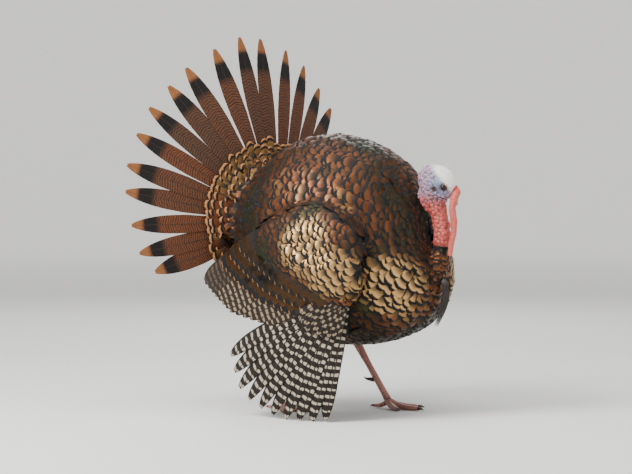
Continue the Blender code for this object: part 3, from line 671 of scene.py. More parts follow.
def over_body(surface):
    """A walk that keeps points on a surface: it gives each one's foot there and the way out."""
    def walk(points):
        found = [surface.find_nearest(Vector(p)) for p in points]
        return np.array([f[0] for f in found]), np.array([f[1] for f in found])
    return walk


def cushion(along, across, face):
    """Height of the cushion of coverts over the fan's middle sheet, in front (1) or behind (-1)."""
    front = np.asarray(face) > 0
    radius = np.where(front, COVERT_RADIUS[1], COVERT_RADIUS[-1])
    share = np.clip(np.hypot(along, across) / radius, 0.05, 1)
    base = np.where(front, TAIL_LIFT, TAIL_STACK + TAIL_LIFT)
    return base + COVERT_EDGE + COVERT_THICKNESS * (1 - share) ** 0.8 * share ** 0.25


def over_fan(face):
    """A walk that keeps points on the cushion of coverts at one face of the fan."""
    def walk(points):
        along, across, _ = ((points - TAIL_CENTRE) @ FAN_AXES.T).T
        share = np.hypot(along, across) / COVERT_RADIUS[face]
        flank = smoothstep(0.35, 0.6, share) * (1 - smoothstep(0.9, 1.0, share))
        slope = 0.9 * COVERT_THICKNESS / COVERT_RADIUS[face] * flank
        away = unit(np.stack((along, across, np.zeros_like(along)), -1)) @ FAN_AXES
        out = unit(face * FAN_AXES[2] + away * slope[:, None])
        return on_fan(along, across, face * cushion(along, across, face)), out
    return walk


def off_the_fan(co):
    """Whether each point stands clear of the tail coverts, or lies where none are rooted."""
    along, across, height = ((co - TAIL_CENTRE) @ FAN_AXES.T).T
    flat = on_fan(along, across, np.zeros(len(co)))
    height = height - ((flat - TAIL_CENTRE) @ FAN_AXES.T)[:, 2]
    face = np.where(height > 0, 1, -1)
    clear = np.abs(height) > cushion(along, across, face) + 0.0015
    below = np.abs(np.arctan2(across, along)) > TAIL_SPREAD / 2 + 0.04
    return clear | below | (np.hypot(along, across) < 0.060)


def feather_lines(walk, roots, lie, length):
    """Where each feather's middle line runs over its surface, and the way out of the coat there."""
    line = np.empty((len(roots), len(BLADE_ROWS), 3))
    out = np.empty_like(line)
    place, step = roots, lie
    for r, stretch in enumerate(np.diff(BLADE_ROWS, prepend=0.0)):
        place, normal = walk(place + step * (stretch * length)[:, None])
        step = unit(step - normal * (step * normal).sum(1)[:, None])
        line[:, r], out[:, r] = place, normal
    return line, out


def coat(heap, walk, roots, lie, length, width, depth, tips, fields, middle):
    """Lays one blade feather at each root: from under the coat up and along its surface."""
    line, out = feather_lines(walk, roots, lie, length)
    # a feather that would fold over an edge is left out: its neighbours cover the place
    whole = (out * out[:, :1]).sum(-1).min(1) > 0.10
    line, out, roots, length, width, depth, tips, fields = (
        v[whole] for v in (line, out, roots, length, width, depth, tips, fields))
    n, rows = len(roots), len(BLADE_ROWS)
    for _ in range(2):
        out[:, 1:-1] = out[:, 1:-1] + 0.5 * (out[:, :-2] + out[:, 2:])
    out = unit(out)
    along = unit(np.gradient(line, axis=1))
    beside = unit(np.cross(out, along))
    t, across = BLADE_ROWS[None, :], BLADE_ACROSS[None, None, :]
    # each lies a little askew, its root under the coat and its tip lifted
    tilt = RNG.normal(0, 0.05, (n, 1))
    sway = RNG.normal(0, 0.05, (n, 1)) * t ** 2 * length[:, None]
    rise = depth[:, None] * (-0.50 + 0.42 * t) + tips[:, None] * t ** 2
    rise = rise + RNG.normal(0, 0.0005, (n, 1))
    middle_line = line + out * rise[..., None] + beside * sway[..., None]
    half = width[:, None] / 2 * BLADE_WIDTH[None, :] * RNG.uniform(0.94, 1.06, (n, rows))
    # a thin blade, cupped over its neighbours, with a frayed end
    cup = -0.06 * width[:, None, None] * across ** 2 * np.ones((n, rows, 1))
    height = cup + tilt[..., None] * across * half[..., None]
    body = np.minimum(0.0006, width[:, None, None] * 0.03) * (1 - 0.6 * t[..., None])
    height = height + body * (BLADE_TOP - 0.6 * BLADE_UNDER)[None, None, :]
    points = (middle_line[:, :, None] + beside[:, :, None] * (across * half[..., None])[..., None]
              + out[:, :, None] * height[..., None])
    fray = RNG.normal(0, 0.011, (n, rows, 6)) * smoothstep(0.7, 0.95, t)[..., None]
    points = points + along[:, :, None] * (fray * length[:, None, None])[..., None]
    mark = np.clip(t[..., None] + 0.10 * across ** 2 * np.ones((n, rows, 1)), 0, 1)
    vane = np.stack(np.broadcast_arrays(0.5 + 0.5 * across, mark), -1)
    patch_of = np.broadcast_arrays(across * BAKE_PATCH / 2, (t[..., None] - 0.5) * BAKE_PATCH)
    bake = unwrap(roots, middle)[:, None, None, :] + np.stack(patch_of, -1)
    corners = rows * 6
    heap.add(points.reshape(n, corners, 3), BLADE_FACES, np.broadcast_to(vane, (n, rows, 6, 2)),
             bake, np.repeat(fields[:, None], corners, axis=1))


def spacing_of(co, owner):
    """How far apart feathers stand: closest on throat, thigh and shoulder."""
    gap = np.full(len(co), COAT_GAP)
    for node, room in NODE_GAPS.items():
        gap[owner == node] = room
    ruff = 1 - smoothstep(0.03, 0.12, np.linalg.norm(co - NECK_BASE, axis=1))
    return gap * (1 - RUFF_CLOSER * ruff)


def lie_of(co, owner, normals):
    """Which way the coat lies: away from the neck and down the flanks, and out along the fan."""
    lie = unit(co - NECK_BASE) + (-0.35, 0, -0.30)
    # along the wing, steeper over the wrist, and straight down the thighs
    arm = np.isin(owner, ARMS)
    wrist = 1 - smoothstep(0.29, 0.36, co[:, 2])
    lie[arm] = np.array((-1.0, 0, -0.42)) + wrist[arm, None] * np.array((0.3, 0, -0.9))
    lie[np.isin(owner, THIGHS)] = (-0.25, 0, -1)
    # out along the fan where the rump meets it, and down over its hub
    away = (co - TAIL_CENTRE) @ FAN_AXES.T
    away[:, 2] = 0
    radial = unit(away) @ FAN_AXES
    near = 1 - smoothstep(0.10, 0.18, np.linalg.norm(co - TAIL_CENTRE, axis=1))
    upper = near * smoothstep(0.40, 0.50, co[:, 2])
    lie = unit(lie) * (1 - upper[:, None]) + radial * upper[:, None]
    hub = (1 - smoothstep(0.03, 0.075, np.linalg.norm(away, axis=1))) * (near > 0)
    lie = lie * (1 - hub[:, None]) + np.array((0, 0, -1.0)) * hub[:, None]
    lie = lie - normals * (lie * normals).sum(1)[:, None]
    return unit(lie + RNG.normal(0, 0.06, lie.shape))


def at_the_parting(co):
    """Whether each point is where the coat parts: round the fan's hub and under its lower edges."""
    away = (co - TAIL_CENTRE) @ FAN_AXES.T
    radius = np.hypot(away[:, 0], away[:, 1])
    edge = np.abs(np.abs(np.arctan2(away[:, 1], away[:, 0])) - TAIL_SPREAD / 2)
    return (np.abs(away[:, 2]) < 0.11) & ((radius < 0.080) | ((edge < 0.35) & (radius < 0.17)))


def towards_the_fan(co, normals):
    """Up and out over the coat, on to the fan."""
    away = (co - TAIL_CENTRE) @ FAN_AXES.T
    away[:, 2] = 0
    lie = FAN_AXES[0] + 0.7 * unit(away) @ FAN_AXES
    return unit(lie - normals * (lie * normals).sum(1)[:, None])


def make_coats(form, surface, quills):
    """Spreads contour feathers over all plumed parts of the form, one piece for each region."""
    places, normals = even_samples(form, COAT_SAMPLES)
    owner = owners(places, FLESH)
    plumed = (neck_share(places, owner) < 0.80) & (owner != "head")
    plumed &= ~np.isin(owner, PADS) | off_the_fan(places)
    plumed &= ~blocked(quills, places, normals)
    places, normals, owner = places[plumed], normals[plumed], owner[plumed]
    gap = spacing_of(places, owner)
    chosen = spread(places, CLOSEST * gap, range(len(places)))
    places, normals, owner, gap = places[chosen], normals[chosen], owner[chosen], gap[chosen]
    lie = lie_of(places, owner, normals)
    # where the coat parts, a second feather at each root lies the other way and hides the skin
    parting = at_the_parting(places)
    lie = np.concatenate((lie, towards_the_fan(places[parting], normals[parting])))
    places, owner, gap = (np.concatenate((v, v[parting])) for v in (places, owner, gap))
    for name, (covered, middle_node) in COATS.items():
        of = np.isin(owner, covered)
        roots, room, n = places[of], gap[of], of.sum()
        low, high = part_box(middle_node)
        length = room * FEATHER_LENGTH * RNG.uniform(0.86, 1.14, n)
        width = room * FEATHER_WIDTH * RNG.uniform(0.88, 1.10, n)
        depth = COAT_DEPTH * np.clip(room / COAT_GAP, 0.5, 1)
        tips = RNG.uniform(0.0, 0.0012, n)
        fields = np.stack((RNG.uniform(0, 1, n), gleam(roots), rust(roots), np.zeros(n)), -1)
        heap = Heap()
        coat(heap, over_body(surface), roots, lie[of], length, width, depth, tips, fields,
             (np.array(low) + np.array(high)) / 2)
        shown(name, heap.mesh(name), "contour_feather")


def make_tail_coverts():
    """Rows of coverts that lie out along the fan, over the bases of the tail feathers."""
    for name, face in zip(PADS, (1, -1)):
        reach, spread_more, room_more = COVERT_ROWS[face]
        along, across = [], []
        for row, radius in enumerate(np.arange(0.030, reach, 0.0115)):
            count = int((TAIL_SPREAD + room_more) * radius / 0.0165) + 2
            for k in range(count):
                angle = (k + 0.5 * (row % 2)) / (count - 0.5) - 0.5
                angle = angle * (TAIL_SPREAD + spread_more) + RNG.normal(0, 0.10 / count)
                away = radius + RNG.normal(0, 0.0018)
                along.append(away * math.cos(angle))
                across.append(away * math.sin(angle))
        along, across = np.array(along), np.array(across)
        n = len(along)
        roots = on_fan(along, across, np.zeros(n))
        lie = unit(np.stack((along, across, np.zeros(n)), -1)) @ FAN_AXES
        size = np.interp(np.hypot(along, across), (0.03, 0.15), (0.030, 0.056))
        fields = np.stack((RNG.uniform(0, 1, n), np.zeros(n), np.ones(n), np.zeros(n)), -1)
        heap = Heap()
        coat(heap, over_fan(face), roots, lie, size * RNG.uniform(0.9, 1.1, n), size * 0.50,
             np.full(n, 0.0050), RNG.uniform(0, 0.0012, n), fields,
             TAIL_CENTRE - 0.3 * face * FAN_AXES[2])
        shown(name + "_feathers", heap.mesh(name), "tail_covert")


def even_samples(mesh, count):
    """Points spread evenly over a mesh by area, with its smooth normals."""
    co, n = coordinates(mesh), vertex_normals(mesh)
    quads = np.array([tuple(p.vertices)[:4] for p in mesh.polygons if len(p.vertices) == 4])
    a, b, c, d = (co[quads[:, i]] for i in range(4))
    size = np.linalg.norm(np.cross(c - a, d - b), axis=1)
    pick = quads[RNG.choice(len(quads), count, p=size / size.sum())]
    u, v = RNG.uniform(0, 1, (2, count, 1))
    share = ((1 - u) * (1 - v), u * (1 - v), u * v, (1 - u) * v)
    places = sum(s * co[pick[:, i]] for i, s in enumerate(share))
    return places, unit(sum(s * n[pick[:, i]] for i, s in enumerate(share)))


def blocked(tree, co, normals, room=0.004):
    """Whether a flight feather stands right over each point."""
    return np.array([
        tree.ray_cast(Vector(p + n * 0.002), Vector(n), room)[0] is not None
        for p, n in zip(co, normals)])


# ---------------------------------------------------------------- flight feathers
BARB_SHARES = np.array((0.0, 0.28, 0.55, 0.80, 1.0))


def outline(share, blunt):
    """Half-width of a flight feather along its length, from the quill to a pointed or blunt tip."""
    grown = np.minimum(1.0, 0.42 + min(1.5, 1.0 + blunt) * share)
    tip = np.clip((share - (0.60 + 0.22 * blunt)) / (0.40 - 0.22 * blunt), 0, 1)
    return grown * np.clip(1 - tip ** (2.0 + 0.6 * blunt), 0, 1) ** (0.72 - 0.22 * blunt)


def grid_faces(columns, rows):
    """Faces of a thin closed slab: a top and a bottom grid and the wall round them."""
    layer = columns * rows
    faces = []
    for c in range(columns - 1):
        for r in range(rows - 1):
            a, b = c * rows + r, (c + 1) * rows + r
            faces += [(a, b, b + 1, a + 1), (layer + a + 1, layer + b + 1, layer + b, layer + a)]
    rim = [(c * rows, (c + 1) * rows) for c in range(columns - 1)]
    rim += [((columns - 1) * rows + r, (columns - 1) * rows + r + 1) for r in range(rows - 1)]
    rim += [((c + 1) * rows + rows - 1, c * rows + rows - 1) for c in reversed(range(columns - 1))]
    rim += [(r + 1, r) for r in reversed(range(rows - 1))]
    faces += [(b, a, layer + a, layer + b) for a, b in rim]
    return np.array(faces)


def quill(heap, place, length, width, blunt, webs, splits, fields, atlas, run, barbs, camber):
    """One flight feather: two vanes of barbs that open into a few splits, and the shaft.

    place turns along, across and height into points. webs are the shares of the width on the
    two sides of the shaft. atlas is the feather's own part of the bake map.
    """
    left, low, right, high = atlas
    s = BARB_SHARES[None, :]
    roots = np.linspace(0.07, 0.985, barbs)
    ends = roots + (run / length) * (1 - roots ** 3)
    for side, web in zip((-1, 1), webs):
        cuts = np.sort(RNG.choice(np.arange(3, barbs - 3), splits, replace=False))
        apart = [c for i, c in enumerate(cuts) if i == 0 or c - cuts[i - 1] > 2]
        bounds = [0, *apart, barbs - 1]
        for first, last in zip(bounds[:-1], bounds[1:]):
            number = np.arange(first, last + 1)
            root, end = roots[number, None], ends[number, None]
            along = (root + (end - root) * s ** 1.25) * length
            across = outline(np.minimum(end, 1.0), blunt) * width * web * s
            # the barbs on both sides of a split draw a hair's breadth apart
            gape = RNG.uniform(0.00002, 0.0001) * s ** 5
            if first > 0:
                along = along + gape * np.exp(-(number - first) / 1.6)[:, None]
            if last < barbs - 1:
                along = along - gape * np.exp(-(last - number) / 1.6)[:, None]
            along = np.minimum(along, length)
            ripple = 0.00025 * np.sin(number * 2.1)[:, None] * s
            lift = -camber * across ** 2 / (width / 2) + RNG.normal(0, 0.00010) * s + ripple
            thick = 0.00045 * (1 - 0.75 * s)
            grids = [place(along, side * across, lift + f * thick / 2) for f in (1, -1)]
            points = np.concatenate([g.reshape(-1, 3) for g in grids])
            u, v = 0.5 + 0.5 * side * s * np.ones_like(along), along / length
            vane = np.stack((u, v), -1).reshape(-1, 2)
            bake = np.stack((left + (right - left) * (0.02 + 0.90 * u), low + (high - low) * v), -1)
            faces = grid_faces(len(number), len(BARB_SHARES))
            if side < 0:
                faces = faces[:, ::-1]
            held = np.broadcast_to(np.array((*fields, 0.0)), (len(points), 4))
            heap.add(points[None], faces, np.tile(vane, (2, 1)),
                     np.tile(bake.reshape(-1, 2), (2, 1)), held)
    shaft(heap, place, length, fields, atlas)


def shaft(heap, place, length, fields, atlas):
    """The feather's tapering shaft, from the bare quill to near the tip."""
    left, low, right, high = atlas
    steps = np.linspace(-0.03, 0.97, 20)
    around = np.arange(6) / 6 * TURN
    radius = np.interp(steps, (-0.03, 0.1, 0.6, 1.0), (0.0017, 0.0016, 0.0009, 0.0003))[:, None]
    along = steps[:, None] * length * np.ones((1, 6))
    points = place(along, radius * np.cos(around), radius * np.sin(around) * 0.9)
    v = np.clip(along / length, 0, 1)
    vane = np.stack((0.5 + 0.02 * np.cos(around) * np.ones_like(v), v), -1)
    strip = left + (right - left) * (0.965 + 0.02 * np.cos(around)) * np.ones_like(v)
    bake = np.stack((strip, low + (high - low) * v), -1)
    held = np.broadcast_to(np.array((*fields, 1.0)), (points.size // 3, 4))
    heap.add(points.reshape(1, -1, 3), tube_faces(len(steps), 6)[:, ::-1], vane, bake, held)


def make_tail():
    """The fan: each tail feather is its own piece, the middle pair in front."""
    for index in range(TAIL_FEATHERS):
        share = index / (TAIL_FEATHERS - 1) - 0.5
        angle = share * TAIL_SPREAD
        rank = abs(index - (TAIL_FEATHERS - 1) / 2) - 0.5
        layer = -(rank + (share < 0)) * TAIL_LAYER
        reach = TAIL_LENGTH + (TAIL_OUTER_LENGTH - TAIL_LENGTH) * (2 * abs(share)) ** 2
        length = reach + TAIL_CREST * math.exp(-(share / 0.1) ** 2) - TAIL_ROOT
        askew = RNG.normal(0, 0.020)

        def place(along, across, height):
            out, beside = TAIL_ROOT + along, across + askew * along
            c, s = math.cos(angle), math.sin(angle)
            return on_fan(out * c - beside * s, out * s + beside * c, layer + height)

        heap = Heap()
        node = f"tail_feather_{index + 1:02d}"
        fields = (RNG.uniform(0, 1), 0.0, 0.0)
        length, width = length * RNG.uniform(0.970, 1.0), TAIL_WIDTH * RNG.uniform(0.92, 1.0)
        quill(heap, place, length, width, 0.10, (0.5, 0.5), RNG.integers(0, 3), fields,
              (0.01, 0.01, 0.99, 0.99), 0.030, 48, 0.02)
        shown(node + "_vane", heap.mesh(node + "_vane"), "tail_feather", (node,))


def on_wing(side, root, angle, offset):
    """A place function for a feather on the hanging wing, with its leading web lifted."""
    def place(along, across, height):
        x = root[0] + along * math.cos(angle) - across * math.sin(angle)
        z = root[1] + along * math.sin(angle) + across * math.cos(angle)
        y = wing_y(x, z) + offset + height + WEB_LEAN * across
        return np.stack((x, SIDES[side] * y, z), -1) + ORIGIN
    return place


def make_wing(side):
    """Barred flight feathers and the long coverts over their bases."""
    wing = WINGS[side]
    wrist = np.array(wing["wrist"])
    for row, (quills, reach, breadth, low, step, blunt, splits, barbs, run,
              material, slot) in WING_ROWS.items():
        count, lengths, longest, width, webs = WING_QUILLS[quills]
        first, last = (math.radians(a) for a in wing[quills])
        # primaries spring from the wrist, and secondaries stand along the arm from there
        along_arm = np.array(wing["elbow"]) - wrist if quills == "secondaries" else 0 * wrist
        heap = Heap()
        for i in range(count):
            share = i / (count - 1)
            length = float(np.interp(share, (0, longest, 1), lengths)) * reach
            place = on_wing(side, wrist + along_arm * share, first + (last - first) * share,
                            low + step * i)
            tertial = row == "secondaries" and i >= count - TERTIALS
            fields = (RNG.uniform(0, 1), 0.0, TERTIAL_BROWN * tertial)
            quill(heap, place, length, width * breadth, blunt, webs, splits, fields,
                  (i / count, 0, (i + 1) / count, 1), run, barbs, 0.06)
        name = f"wing_{side}_{row}_vanes"
        nodes = (f"wing_{side}_{row}",) if row in WING_QUILLS else ()
        shown(name, heap.mesh(name), material, nodes)


# ---------------------------------------------------------------- bill, eyes, snood, beard and legs
def refined(node, voxel, rounds):
    """A node's own shape with an even fine mesh and its facets rounded off."""
    points, faces, _ = node_mesh((node,))
    mesh = remeshed(node + "_fine", points, faces, voxel)
    co = smoothed(coordinates(mesh), edge_pairs(mesh), rounds)
    place_vertices(mesh, co)
    mesh.shade_smooth()
    return mesh, co, vertex_normals(mesh)


def make_bill():
    """Horny bill with a growth line, a ridge, and a nostril in its soft base."""
    for node in ("upper_bill", "lower_bill"):
        mesh, co, normals = refined(node, 0.0007, 6)
        forward, _, up = in_head(co).T
        start = forward.min()
        nostril = bell(oval(forward, up, (start + 0.0045, 0.0045), (0.0028, 0.0011)), 1)
        nostril *= node == "upper_bill"
        lift = 0.00015 * np.sin((forward - start) / 0.0021 * TURN) - 0.0012 * nostril
        place_vertices(mesh, co + normals * lift[:, None])
        point_field(mesh, "tip", (forward - start) / (forward.max() - start))
        # the nostril is painted black: painted shade in its hollow
        point_field(mesh, "dark", nostril)
        shown(node + "_horn", mesh, "horn", (node,))


def make_eye(node, side):
    """A round eyeball with a slightly domed cornea."""
    made = bmesh.new()
    bmesh.ops.create_uvsphere(made, u_segments=40, v_segments=24, radius=EYE_RADIUS - 0.0002)
    mesh = bpy.data.meshes.new(node)
    made.to_mesh(mesh)
    made.free()
    look = unit(side * HEAD_AXES[1] * 0.93 + HEAD_AXES[0] * 0.30)
    co = coordinates(mesh)
    off_axis = np.arccos(np.clip(unit(co) @ look, -1, 1))
    dome = 1 + 0.06 * bell(off_axis, 0.55)
    point_field(mesh, "off_axis", off_axis)
    place_vertices(mesh, co * dome[:, None] + eye_middle(side))
    mesh.shade_smooth()
    shown(node + "_ball", mesh, "eye", (node,))


def make_snood():
    """The fleshy snood, ringed with fine folds."""
    mesh, co, normals = refined("snood", 0.0009, 8)
    wander = 1.6 * np.sin(co[:, 1] * 520) + 1.1 * np.sin(co[:, 0] * 760)
    folds = np.sin(co[:, 2] / 0.0037 * TURN + wander)
    away, _ = nearest_distances(co, co[spread(co, 0.0045, RNG.permutation(len(co)))])
    grain = np.sqrt(np.clip(1 - (away / 0.0030) ** 2, 0, 1))
    place_vertices(mesh, co + normals * (0.0005 * folds + 0.0009 * grain)[:, None])
    rooted = smoothstep(0.035, 0.0, co[:, 2].max() - co[:, 2])
    # the flush is paler near the root, and painted shade makes it darker red in the hollows of the
    # folds and between the grains
    point_field(mesh, "red", np.clip(0.35 + 0.45 * grain + 0.2 * folds - 0.3 * rooted, 0, 1))
    shown("snood_flesh", mesh, "snood_flesh", ("snood",))


def strand(heap, path, radius):
    """One tapering four-sided bristle along a path of points."""
    along = unit(np.gradient(path, axis=0))
    beside = unit(np.cross(along, (0.31, 0.87, 0.2)))
    out = np.cross(along, beside)
    turn = np.arange(4) / 4 * TURN
    taper = np.linspace(1, 0.25, len(path))[:, None, None] * radius
    points = path[:, None] + taper * (beside[:, None] * np.cos(turn)[None, :, None]
                                      + out[:, None] * np.sin(turn)[None, :, None])
    v = np.linspace(0, 1, len(path))[:, None] * np.ones((1, 4))
    vane = np.stack((turn / 7 * np.ones_like(v), v), -1).reshape(-1, 2)
    bake = unwrap(path[:1], path[:1] - (0.3, 0.1, 0.2)) + (vane - 0.5) * BAKE_PATCH
    held = np.broadcast_to(np.array((0.5, 0.0, 0.0, 0.0)), (points.size // 3, 4))
    heap.add(points.reshape(1, -1, 3), tube_faces(len(path), 4), vane, bake, held)


def resampled(path, places):
    """Points of a path at places counted from its first point."""
    number = np.arange(len(path))
    return np.stack([np.interp(places, number, path[:, k]) for k in range(3)], -1)


def make_beard():
    """The beard: a hanging tuft of long black bristles."""
    heap = Heap()
    path = np.array(BEARD_PATH) + ORIGIN
    share = np.linspace(0, 1, 14)
    line = resampled(path, share * (len(path) - 1))
    for _ in range(3):
        line[1:-1] = (line[:-2] + 2 * line[1:-1] + line[2:]) / 4
    for _ in range(BEARD_BRISTLES):
        end = RNG.uniform(0.72, 1.0)
        angle, away = RNG.uniform(0, TURN), math.sqrt(RNG.uniform(0, 1))
        reach = np.interp(share, (0, 0.25, 0.7, 1), (0.0042, 0.0080, 0.0090, 0.0050)) * away
        wave = 0.0007 * np.sin(share * RNG.uniform(4, 9) + RNG.uniform(0, 6))
        spring = math.cos(angle) * np.array((0, 1, 0)) + math.sin(angle) * np.array((0.95, 0, 0.3))
        strand_line = line + reach[:, None] * spring + wave[:, None] * (0, 1, 0)
        cut = np.linspace(0, end * (len(share) - 1), len(share))
        strand(heap, resampled(strand_line, cut), BEARD_BRISTLE_RADIUS)
    shown("beard_bristles", heap.mesh("beard_bristles"), "bristle", ("beard",))


def make_head_bristles(skin):
    """Sparse hair-like feathers on ear, crown and nape."""
    co, normals = coordinates(skin.data), vertex_normals(skin.data)
    forward, _, up = in_head(co).T
    height = (co - ORIGIN)[:, 2]
    ear = (oval(forward, up, *EAR) < 1.1) & (height > 0.48)
    crown = (height > 0.50) & (forward < 0.030) & (up > -0.004)
    nape = (height > 0.40) & (forward < -0.016)
    heap = Heap()
    for where, count, length in ((ear, 45, 0.0035), (crown, 70, 0.0030), (nape, 120, 0.0042)):
        spots = np.flatnonzero(where)
        for i in RNG.choice(spots, min(count, len(spots)), replace=False):
            lean = unit(normals[i] * 0.55 - HEAD_AXES[0] * 0.8 + RNG.normal(0, 0.25, 3))
            size = length * RNG.uniform(0.5, 1.1)
            path = co[i] + np.outer(np.linspace(-0.1, 1, 4), lean) * size
            strand(heap, path, HEAD_BRISTLE_RADIUS)
    shown("head_bristles", heap.mesh("head_bristles"), "bristle")


def make_legs():
    """Scaled shanks and toes, and horny claws and spurs."""
    for side, leg in LEGS.items():
        hock, joint = np.array(leg["hock"]) + ORIGIN, np.array(leg["joint"]) + ORIGIN
        make_shank(side, hock, joint)
        make_foot(side, leg, joint)
        for node in [f"claw_{toe}_{side}" for toe in TOES] + [f"spur_{side}"]:
            mesh, _, _ = refined(node, 0.0006, 6)
            shown(node + "_horn", mesh, "claw_horn", (node,))


def make_shank(side, hock, joint):
    """The shank: broad scutes in front and behind, and a net of small scales on its sides."""
    axis = unit(joint - hock)
    mesh, co, normals = refined(f"shank_{side}", 0.0014, 5)
    ahead = unit(np.cross(np.cross(axis, (1.0, 0, 0)), axis))
    front = np.clip(np.abs(normals @ ahead), 0, 1)
    scutes = scute_crease((co - hock) @ axis, SHANK_SCUTE)
    crease = np.where(front > 0.45, scutes, net_crease(co, SHANK_NET))
    shown_scales(f"shank_{side}", mesh, co - normals * (0.00055 * crease)[:, None], crease)


def shown_scales(node, mesh, co, crease):
    """Shows a scaled piece of the leg, with its grooves marked."""
    place_vertices(mesh, co)
    point_field(mesh, "crease", crease)
    shown(node + "_scales", mesh, "leg_scale", (node,))


def scute_crease(along, pitch):
    """1 in the groove between two broad scales and 0 on them."""
    share = (along / pitch + 0.06 * np.sin(along * 400)) % 1.0
    return bell(np.minimum(share, 1 - share), 0.10)


def net_crease(co, spacing):
    """1 in the grooves of a net of small round scales."""
    away, _ = nearest_distances(co, co[spread(co, spacing, RNG.permutation(len(co)))])
    return smoothstep(0.46 * spacing, 0.66 * spacing, away)


def make_foot(side, leg, joint):
    """The toes: scutes on top, and a net of small scales beneath and round the joint."""
    mesh, co, normals = refined(f"foot_{side}", 0.0014, 5)
    nearest, along = np.full(len(co), 9.0), np.zeros(len(co))
    for bearing in TOES.values():
        angle = math.radians(leg["heading"] + bearing)
        way = np.array((math.cos(angle), math.sin(angle), 0))
        reach = (co - joint) @ way
        off = np.linalg.norm((co - joint)[:, :2] - np.outer(reach, way[:2]), axis=1)
        off = off + 0.02 * (reach < 0)
        along = np.where(off < nearest, reach, along)
        nearest = np.minimum(off, nearest)
    net = net_crease(co, TOE_NET)
    on_top = (normals[:, 2] > 0.25) & (along > 0.010)
    crease = np.where(on_top, scute_crease(along, TOE_SCUTE), net)
    low = smoothstep(0.0008, 0.0030, co[:, 2])
    shown_scales(f"foot_{side}", mesh, co - normals * (0.0005 * crease * low)[:, None], crease)


# ---------------------------------------------------------------- materials
# real barbs stand about 0.3 mm apart: they are drawn 1 mm apart on the coat and 4 mm apart on
# the long quills, so that they show, and these are the lines on one feather
COAT_BARBS, TAIL_BARBS, QUILL_BARBS = 46, 92, 90
# how many marks of each pattern lie in a metre, beside the size of one
HUE_DRIFT = 7.0  # 140 mm: plumage turns from copper to green over several feathers
TAIL_RAG = 140.0  # 7 mm: a tail bar breaks up over its own width
BAR_RAG, BAR_WEAR = 90.0, 45.0  # 11 and 22 mm: a wing bar wavers, and fades from web to web
SKIN_GRAIN, SKIN_BLOTCH, SKIN_PITS = 520.0, 70.0, 620.0  # 2, 14 and 1.6 mm
SNOOD_BLOTCH, SNOOD_PITS = 120.0, 700.0  # 8 and 1.4 mm
BILL_STREAK, CLAW_STREAK = 260.0, 330.0  # 4 and 3 mm
LEG_BLOTCH, IRIS_RAYS, BRISTLE_WEAR = 95.0, 900.0, 60.0  # 10, 1 and 17 mm
BOARD_GRAIN = 3.0  # 300 mm: roller marks in the floor's paint
# settings and output of a node that mixes two colours
COLOUR = {"output": 2, "data_type": "RGBA"}


def vane_places(tree):
    """Across and along a feather's vane, both 0 to 1, and how far out from its shaft."""
    across, along, _ = add(tree, "SeparateXYZ", {0: add(tree, "UVMap", uv_map="Vane")}).node.outputs
    centred = add(tree, "Math", {0: across, 1: 0.5}, operation="SUBTRACT")
    return across, along, add(tree, "Math", {0: centred}, operation="ABSOLUTE")


def waves(tree, along, count, shift):
    """Waves along the vane, from -1 to 1, with a shift counted in waves."""
    turns = add(tree, "Math", {0: along, 1: count, 2: shift}, operation="MULTIPLY_ADD")
    angle = add(tree, "Math", {0: turns, 1: TURN}, operation="MULTIPLY")
    return add(tree, "Math", {0: angle}, operation="SINE")


def barb_lines(tree, along, out, count, slope):
    """Lines of the barbs, which run out and towards the tip from the shaft: 0 to 1."""
    leaned = add(tree, "Math", {0: out, 1: -2 * slope}, operation="MULTIPLY")
    wave = waves(tree, along, count, leaned)
    return add(tree, "Math", {0: wave, 1: 0.5, 2: 0.5}, operation="MULTIPLY_ADD")


def contour_feather(tree, place, palette):
    """Body feather: melanin-black keratin whose barbs throw copper, gold and green.

    The eye sees a metallic band on each feather that ends in a velvety black edge.
    """
    _, along, out = vane_places(tree)
    lines = barb_lines(tree, along, out, COAT_BARBS, 6.0)
    tone, shine, chestnut = (add(tree, "Attribute", output="Fac", attribute_name=name)
                             for name in ("tone", "gleam", "rust"))
    drift = add(tree, "TexNoise", {"Vector": place, "Scale": HUE_DRIFT, "Detail": 2.0})
    hue = add(tree, "Math", {0: tone, 1: 0.13, 2: drift}, operation="MULTIPLY_ADD")
    hues = [(stop, linear(colour)) for stop, colour in zip((0.36, 0.48, 0.62, 0.76), palette)]
    metal = add(tree, "ValToRGB", {0: hue}, stops=hues)
    # painted highlight: in the breast and shoulder patches the metal is painted pale gold, as where
    # the light catches the plumage
    bright = add(tree, "Mix", {0: shine, 6: metal, 7: linear("highlight_gold")}, **COLOUR)
    shift = add(tree, "Math", {0: chestnut, 1: 0.05, 2: along}, operation="MULTIPLY_ADD")
    # dark at the hidden base, brightening towards the black tip as the barbs catch the light
    band = add(tree, "ValToRGB", {0: shift}, stops=(
        (0.40, 0.0), (0.62, 0.34), (0.80, 1.0), (0.845, 0.9), (0.885, 0.0)))
    edge = add(tree, "ValToRGB", {0: shift}, stops=((0.965, 0.0), (0.99, 1.0)))
    dark = add(tree, "Mix", {0: band, 6: linear("velvet_black"), 7: bright}, **COLOUR)
    lined = add(tree, "Mix", {0: 0.16, 6: dark, 7: lines}, blend_type="MULTIPLY", **COLOUR)
    return {
        "Base Color": add(tree, "Mix", {0: edge, 6: lined, 7: linear(palette[4])}, **COLOUR),
        "Roughness": add(tree, "MapRange", {0: band, 3: 0.78, 4: 0.34}),
        "Metallic": add(tree, "Math", {0: band, 1: 0.80}, operation="MULTIPLY"),
        "Normal": add(tree, "Bump", {"Strength": 0.22, "Distance": 0.00025, "Height": lines}),
        "Specular IOR Level": 0.28}


